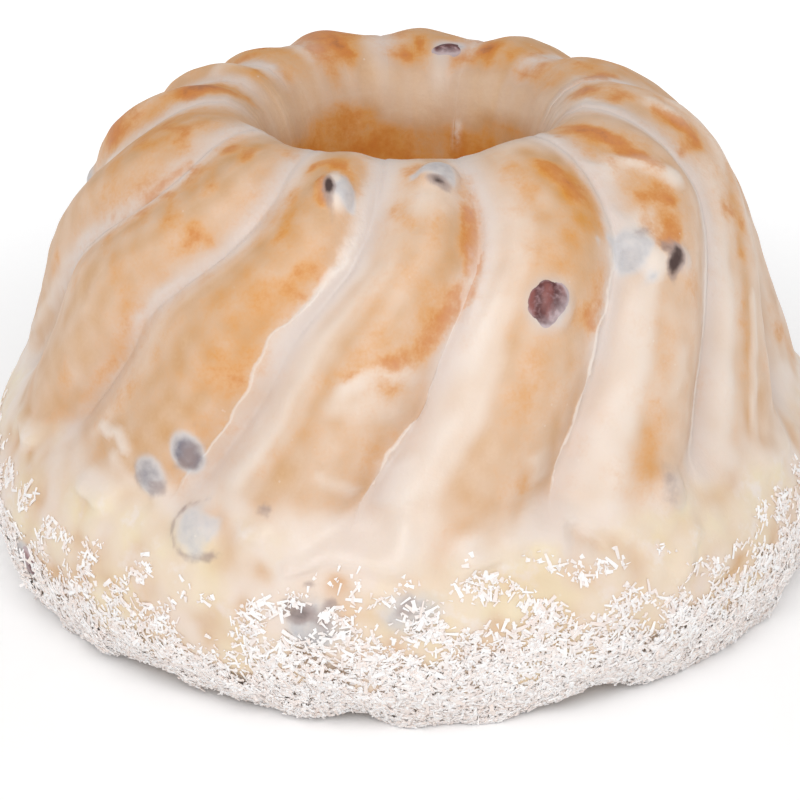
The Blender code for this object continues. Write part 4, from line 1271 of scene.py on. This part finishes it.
def coconut_spots(draw, count, points, normals):
    """(places, normals, cover) of count places on the foot's band, more of them where its cover is greater.

    Places are drawn evenly over the grid, each kept with a chance of its cell's width times its cover."""
    columns = points.shape[1]
    found, total = [], 0
    while total < count:
        row = draw.uniform(COCONUT_ROWS * WALL_ROWS, WALL_ROWS - 1.01, COCONUT_TRIES)
        column = draw.uniform(0, columns, COCONUT_TRIES)
        i, j = row.astype(int), column.astype(int) % columns
        k = (j + 1) % columns
        u, v = (row - i)[:, None], (column % 1.0)[:, None]
        point, normal = (
            (grid[i, j] * (1 - v) + grid[i, k] * v) * (1 - u)
            + (grid[i + 1, j] * (1 - v) + grid[i + 1, k] * v) * u
            for grid in (points, normals)
        )
        cell = np.linalg.norm(points[i, k] - points[i, j], axis=1)
        share = clear_of_raisins(point)
        keep = draw.random(COCONUT_TRIES) < share * cell / WIDEST_CELL
        found.append(np.hstack([point, normal, share[:, None]])[keep])
        total += int(keep.sum())
    point, normal, share = np.split(np.vstack(found)[:count], (3, 6), axis=1)
    return point, normal / np.linalg.norm(normal, axis=1, keepdims=True), share[:, 0]


def clear_of_raisins(point):
    """dusting, with less of it on the raisins."""
    share = dusting(point)
    for centre, axes, half, *_ in raisin_seats():
        local = (point - centre) @ axes.T / half
        share = share * (1 - 0.7 * (1 - eased(np.linalg.norm(local, axis=1), 0.8, 1.15)))
    return share


def scattered(draw, spots, template, faces, sizes, lift, tilt):
    """(points, faces, shade) of one template laid at every spot.

    Each copy is scaled to its own length, width and thickness, turned at random about the crust's normal,
    tipped by up to tilt and raised by lift, then moved up until it clears the floor."""
    at, normal, _ = spots
    count, corners = len(at), len(template)
    along, across = lying_on(normal, draw.uniform(0, TURN, count)[:, None])
    along, out = turned(along, normal, draw.uniform(-1, 1, count)[:, None] * tilt[:, None])
    across, out = turned(across, out, draw.uniform(-0.2, 0.2, count)[:, None])
    axes = np.stack([along, across, out], axis=1)
    points = (template[None] * sizes[:, None, :]) @ axes + (at + normal * lift[:, None])[:, None, :]
    points[..., 2] += np.maximum(0.0, 0.1 * MM - points[..., 2].min(axis=1))[:, None]
    every = (faces[None] + corners * np.arange(count)[:, None, None]).reshape(-1, faces.shape[1])
    return points.reshape(-1, 3), every, np.repeat(draw.uniform(0.2, 1.0, count), corners)


def bar_template(sections, bend):
    """(points, faces) of a unit shred: square sections along X that narrow to one end, bowed by bend."""
    x = np.linspace(-0.5, 0.5, sections)[:, None]
    narrow = 0.85 - 0.45 * x
    square = np.array([(-0.5, -0.5), (0.5, -0.5), (0.5, 0.5), (-0.5, 0.5)])
    y, z = square[:, 0] * narrow, square[:, 1] * narrow + bend * (0.25 - x**2)
    points = np.stack([np.broadcast_to(x, y.shape), y, z], axis=-1).reshape(-1, 3)
    faces = [(3, 2, 1, 0), tuple(4 * (sections - 1) + k for k in range(4))]
    for first in range(0, 4 * (sections - 1), 4):
        for k, m in ((0, 1), (1, 2), (2, 3), (3, 0)):
            faces.append((first + k, first + m, first + 4 + m, first + 4 + k))
    return points, np.array(faces)


def splinter_template():
    """(points, faces) of a crumb of unit size: a tetrahedron, the least that closes."""
    points = np.array([(-0.5, -0.5, 0.0), (-0.5, 0.5, 0.0), (0.5, 0.0, -0.5), (0.5, 0.0, 0.5)])
    return points, np.array([(0, 2, 3), (1, 3, 2), (0, 1, 2), (0, 3, 1)])


class BABKA_OT_coconut(bpy.types.Operator):
    """Coconut round the foot: long shreds, thin slivers, and chips and crumbs in between them."""

    bl_idname = "babka.coconut"
    bl_label = "Coconut"

    def execute(self, context):
        look, crust = context.scene.babka_coconut, context.scene.babka_crust
        points, normals, _ = glazed_skin(crust.glaze_height, crust.uneven_foot)
        material = dried_coconut(look)
        # Each kind's seed, number, shape, share of the usual size and range about it
        kinds = (
            ("coconut_shreds", 51, look.shreds, bar_template(4, 2.2), (1.0, 1.0, 0.30), (0.6, 1.4)),
            ("coconut_slivers", 53, look.slivers, bar_template(3, 1.6), (0.8, 0.7, 0.34), (0.6, 1.4)),
            ("coconut_chips", 52, look.chips, bar_template(2, 0.0), (0.42, 1.0, 0.34), (0.5, 1.4)),
            ("coconut_crumbs", 54, look.crumbs, splinter_template(), (0.42, 0.9, 0.5), (0.4, 1.3)),
        )
        for name, seed, count, template, scale, spread in kinds:
            draw = np.random.default_rng(seed)
            spots = coconut_spots(draw, count, points, normals)
            crowd = eased(spots[2], 0.2, 0.9)
            usual = np.array([look.shred_length, look.shred_width, look.shred_width]) * scale
            sizes = usual * draw.uniform(*spread, (count, 3))
            heap = np.maximum(0.0, wander(spots[0], 7.0, 33)) + draw.uniform(0, 0.45, count)
            lift = sizes[:, 2] * 0.5 + crowd * heap * MM
            tilt = 0.08 + 0.20 * crowd + 0.6 * crowd * draw.random(count) ** 6
            laid, faces, shade = scattered(draw, spots, *template, sizes, lift, tilt)
            piece = mesh_object(name, laid, faces, {"shade": shade}, material, smooth=False)
            finish_piece(piece, [])
        return {"FINISHED"}


def set_up(data, place, turn):
    """An object for a light or a camera, at a place in metres and turned by degrees about X, Y and Z."""
    stand = bpy.data.objects.new(data.name, data)
    stand.location, stand.rotation_euler = place, [math.radians(angle) for angle in turn]
    bpy.context.scene.collection.objects.link(stand)
    return stand


class BABKA_OT_stage(bpy.types.Operator):
    """White paper floor, white surround, one soft light and the camera at the photograph's angle."""

    bl_idname = "babka.stage"
    bl_label = "Stage"

    def execute(self, context):
        look, scene = context.scene.babka_stage, context.scene
        corners = np.array([(-1, -1, 0), (1, -1, 0), (1, 1, 0), (-1, 1, 0)]) * FLOOR_REACH
        floor = mesh_object("floor", corners, [(0, 1, 2, 3)], {}, paper_floor(look))

        world = bpy.data.worlds.new("white_surround")
        world.use_nodes = True
        wire(world.node_tree.nodes["Background"], {"Color": (1.0, 1.0, 1.0), "Strength": look.sky_strength})
        scene.world = world
        scene.view_settings.view_transform = "Standard"

        key = bpy.data.lights.new("key", "AREA")
        key.energy, key.size = look.key_power, KEY_SIZE
        set_up(key, KEY_PLACE, KEY_TURN)
        lens = bpy.data.cameras.new("camera")
        lens.sensor_width, lens.lens = 36.0, look.focal_length
        scene.camera = set_up(lens, CAMERA_PLACE, CAMERA_TURN)
        return {"FINISHED"}


OPERATORS = (BABKA_OT_crust, BABKA_OT_raisins, BABKA_OT_coconut, BABKA_OT_stage)
SETTINGS = {
    "babka_crust": CrustSettings,
    "babka_raisins": RaisinSettings,
    "babka_coconut": CoconutSettings,
    "babka_stage": StageSettings,
}


class BABKA_PT_panel(bpy.types.Panel):
    """Lists the pieces of the babka and their settings."""

    bl_idname = "BABKA_PT_panel"
    bl_label = "Babka"
    bl_space_type = "VIEW_3D"
    bl_region_type = "UI"
    bl_category = "Babka"

    def draw(self, context):
        for operator, (name, group) in zip(OPERATORS, SETTINGS.items()):
            box = self.layout.box()
            box.operator(operator.bl_idname)
            for label in group.__annotations__:
                box.prop(getattr(context.scene, name), label)


def register():
    for kind in (*SETTINGS.values(), *OPERATORS, BABKA_PT_panel):
        bpy.utils.register_class(kind)
    for name, group in SETTINGS.items():
        setattr(bpy.types.Scene, name, PointerProperty(type=group))


def unregister():
    for name in SETTINGS:
        delattr(bpy.types.Scene, name)
    for kind in (BABKA_PT_panel, *reversed(OPERATORS), *SETTINGS.values()):
        bpy.utils.unregister_class(kind)


def main():
    register()
    bpy.ops.babka.crust()
    bpy.ops.babka.raisins()
    bpy.ops.babka.coconut()
    bpy.ops.babka.stage()


if __name__ == "__main__":
    main()
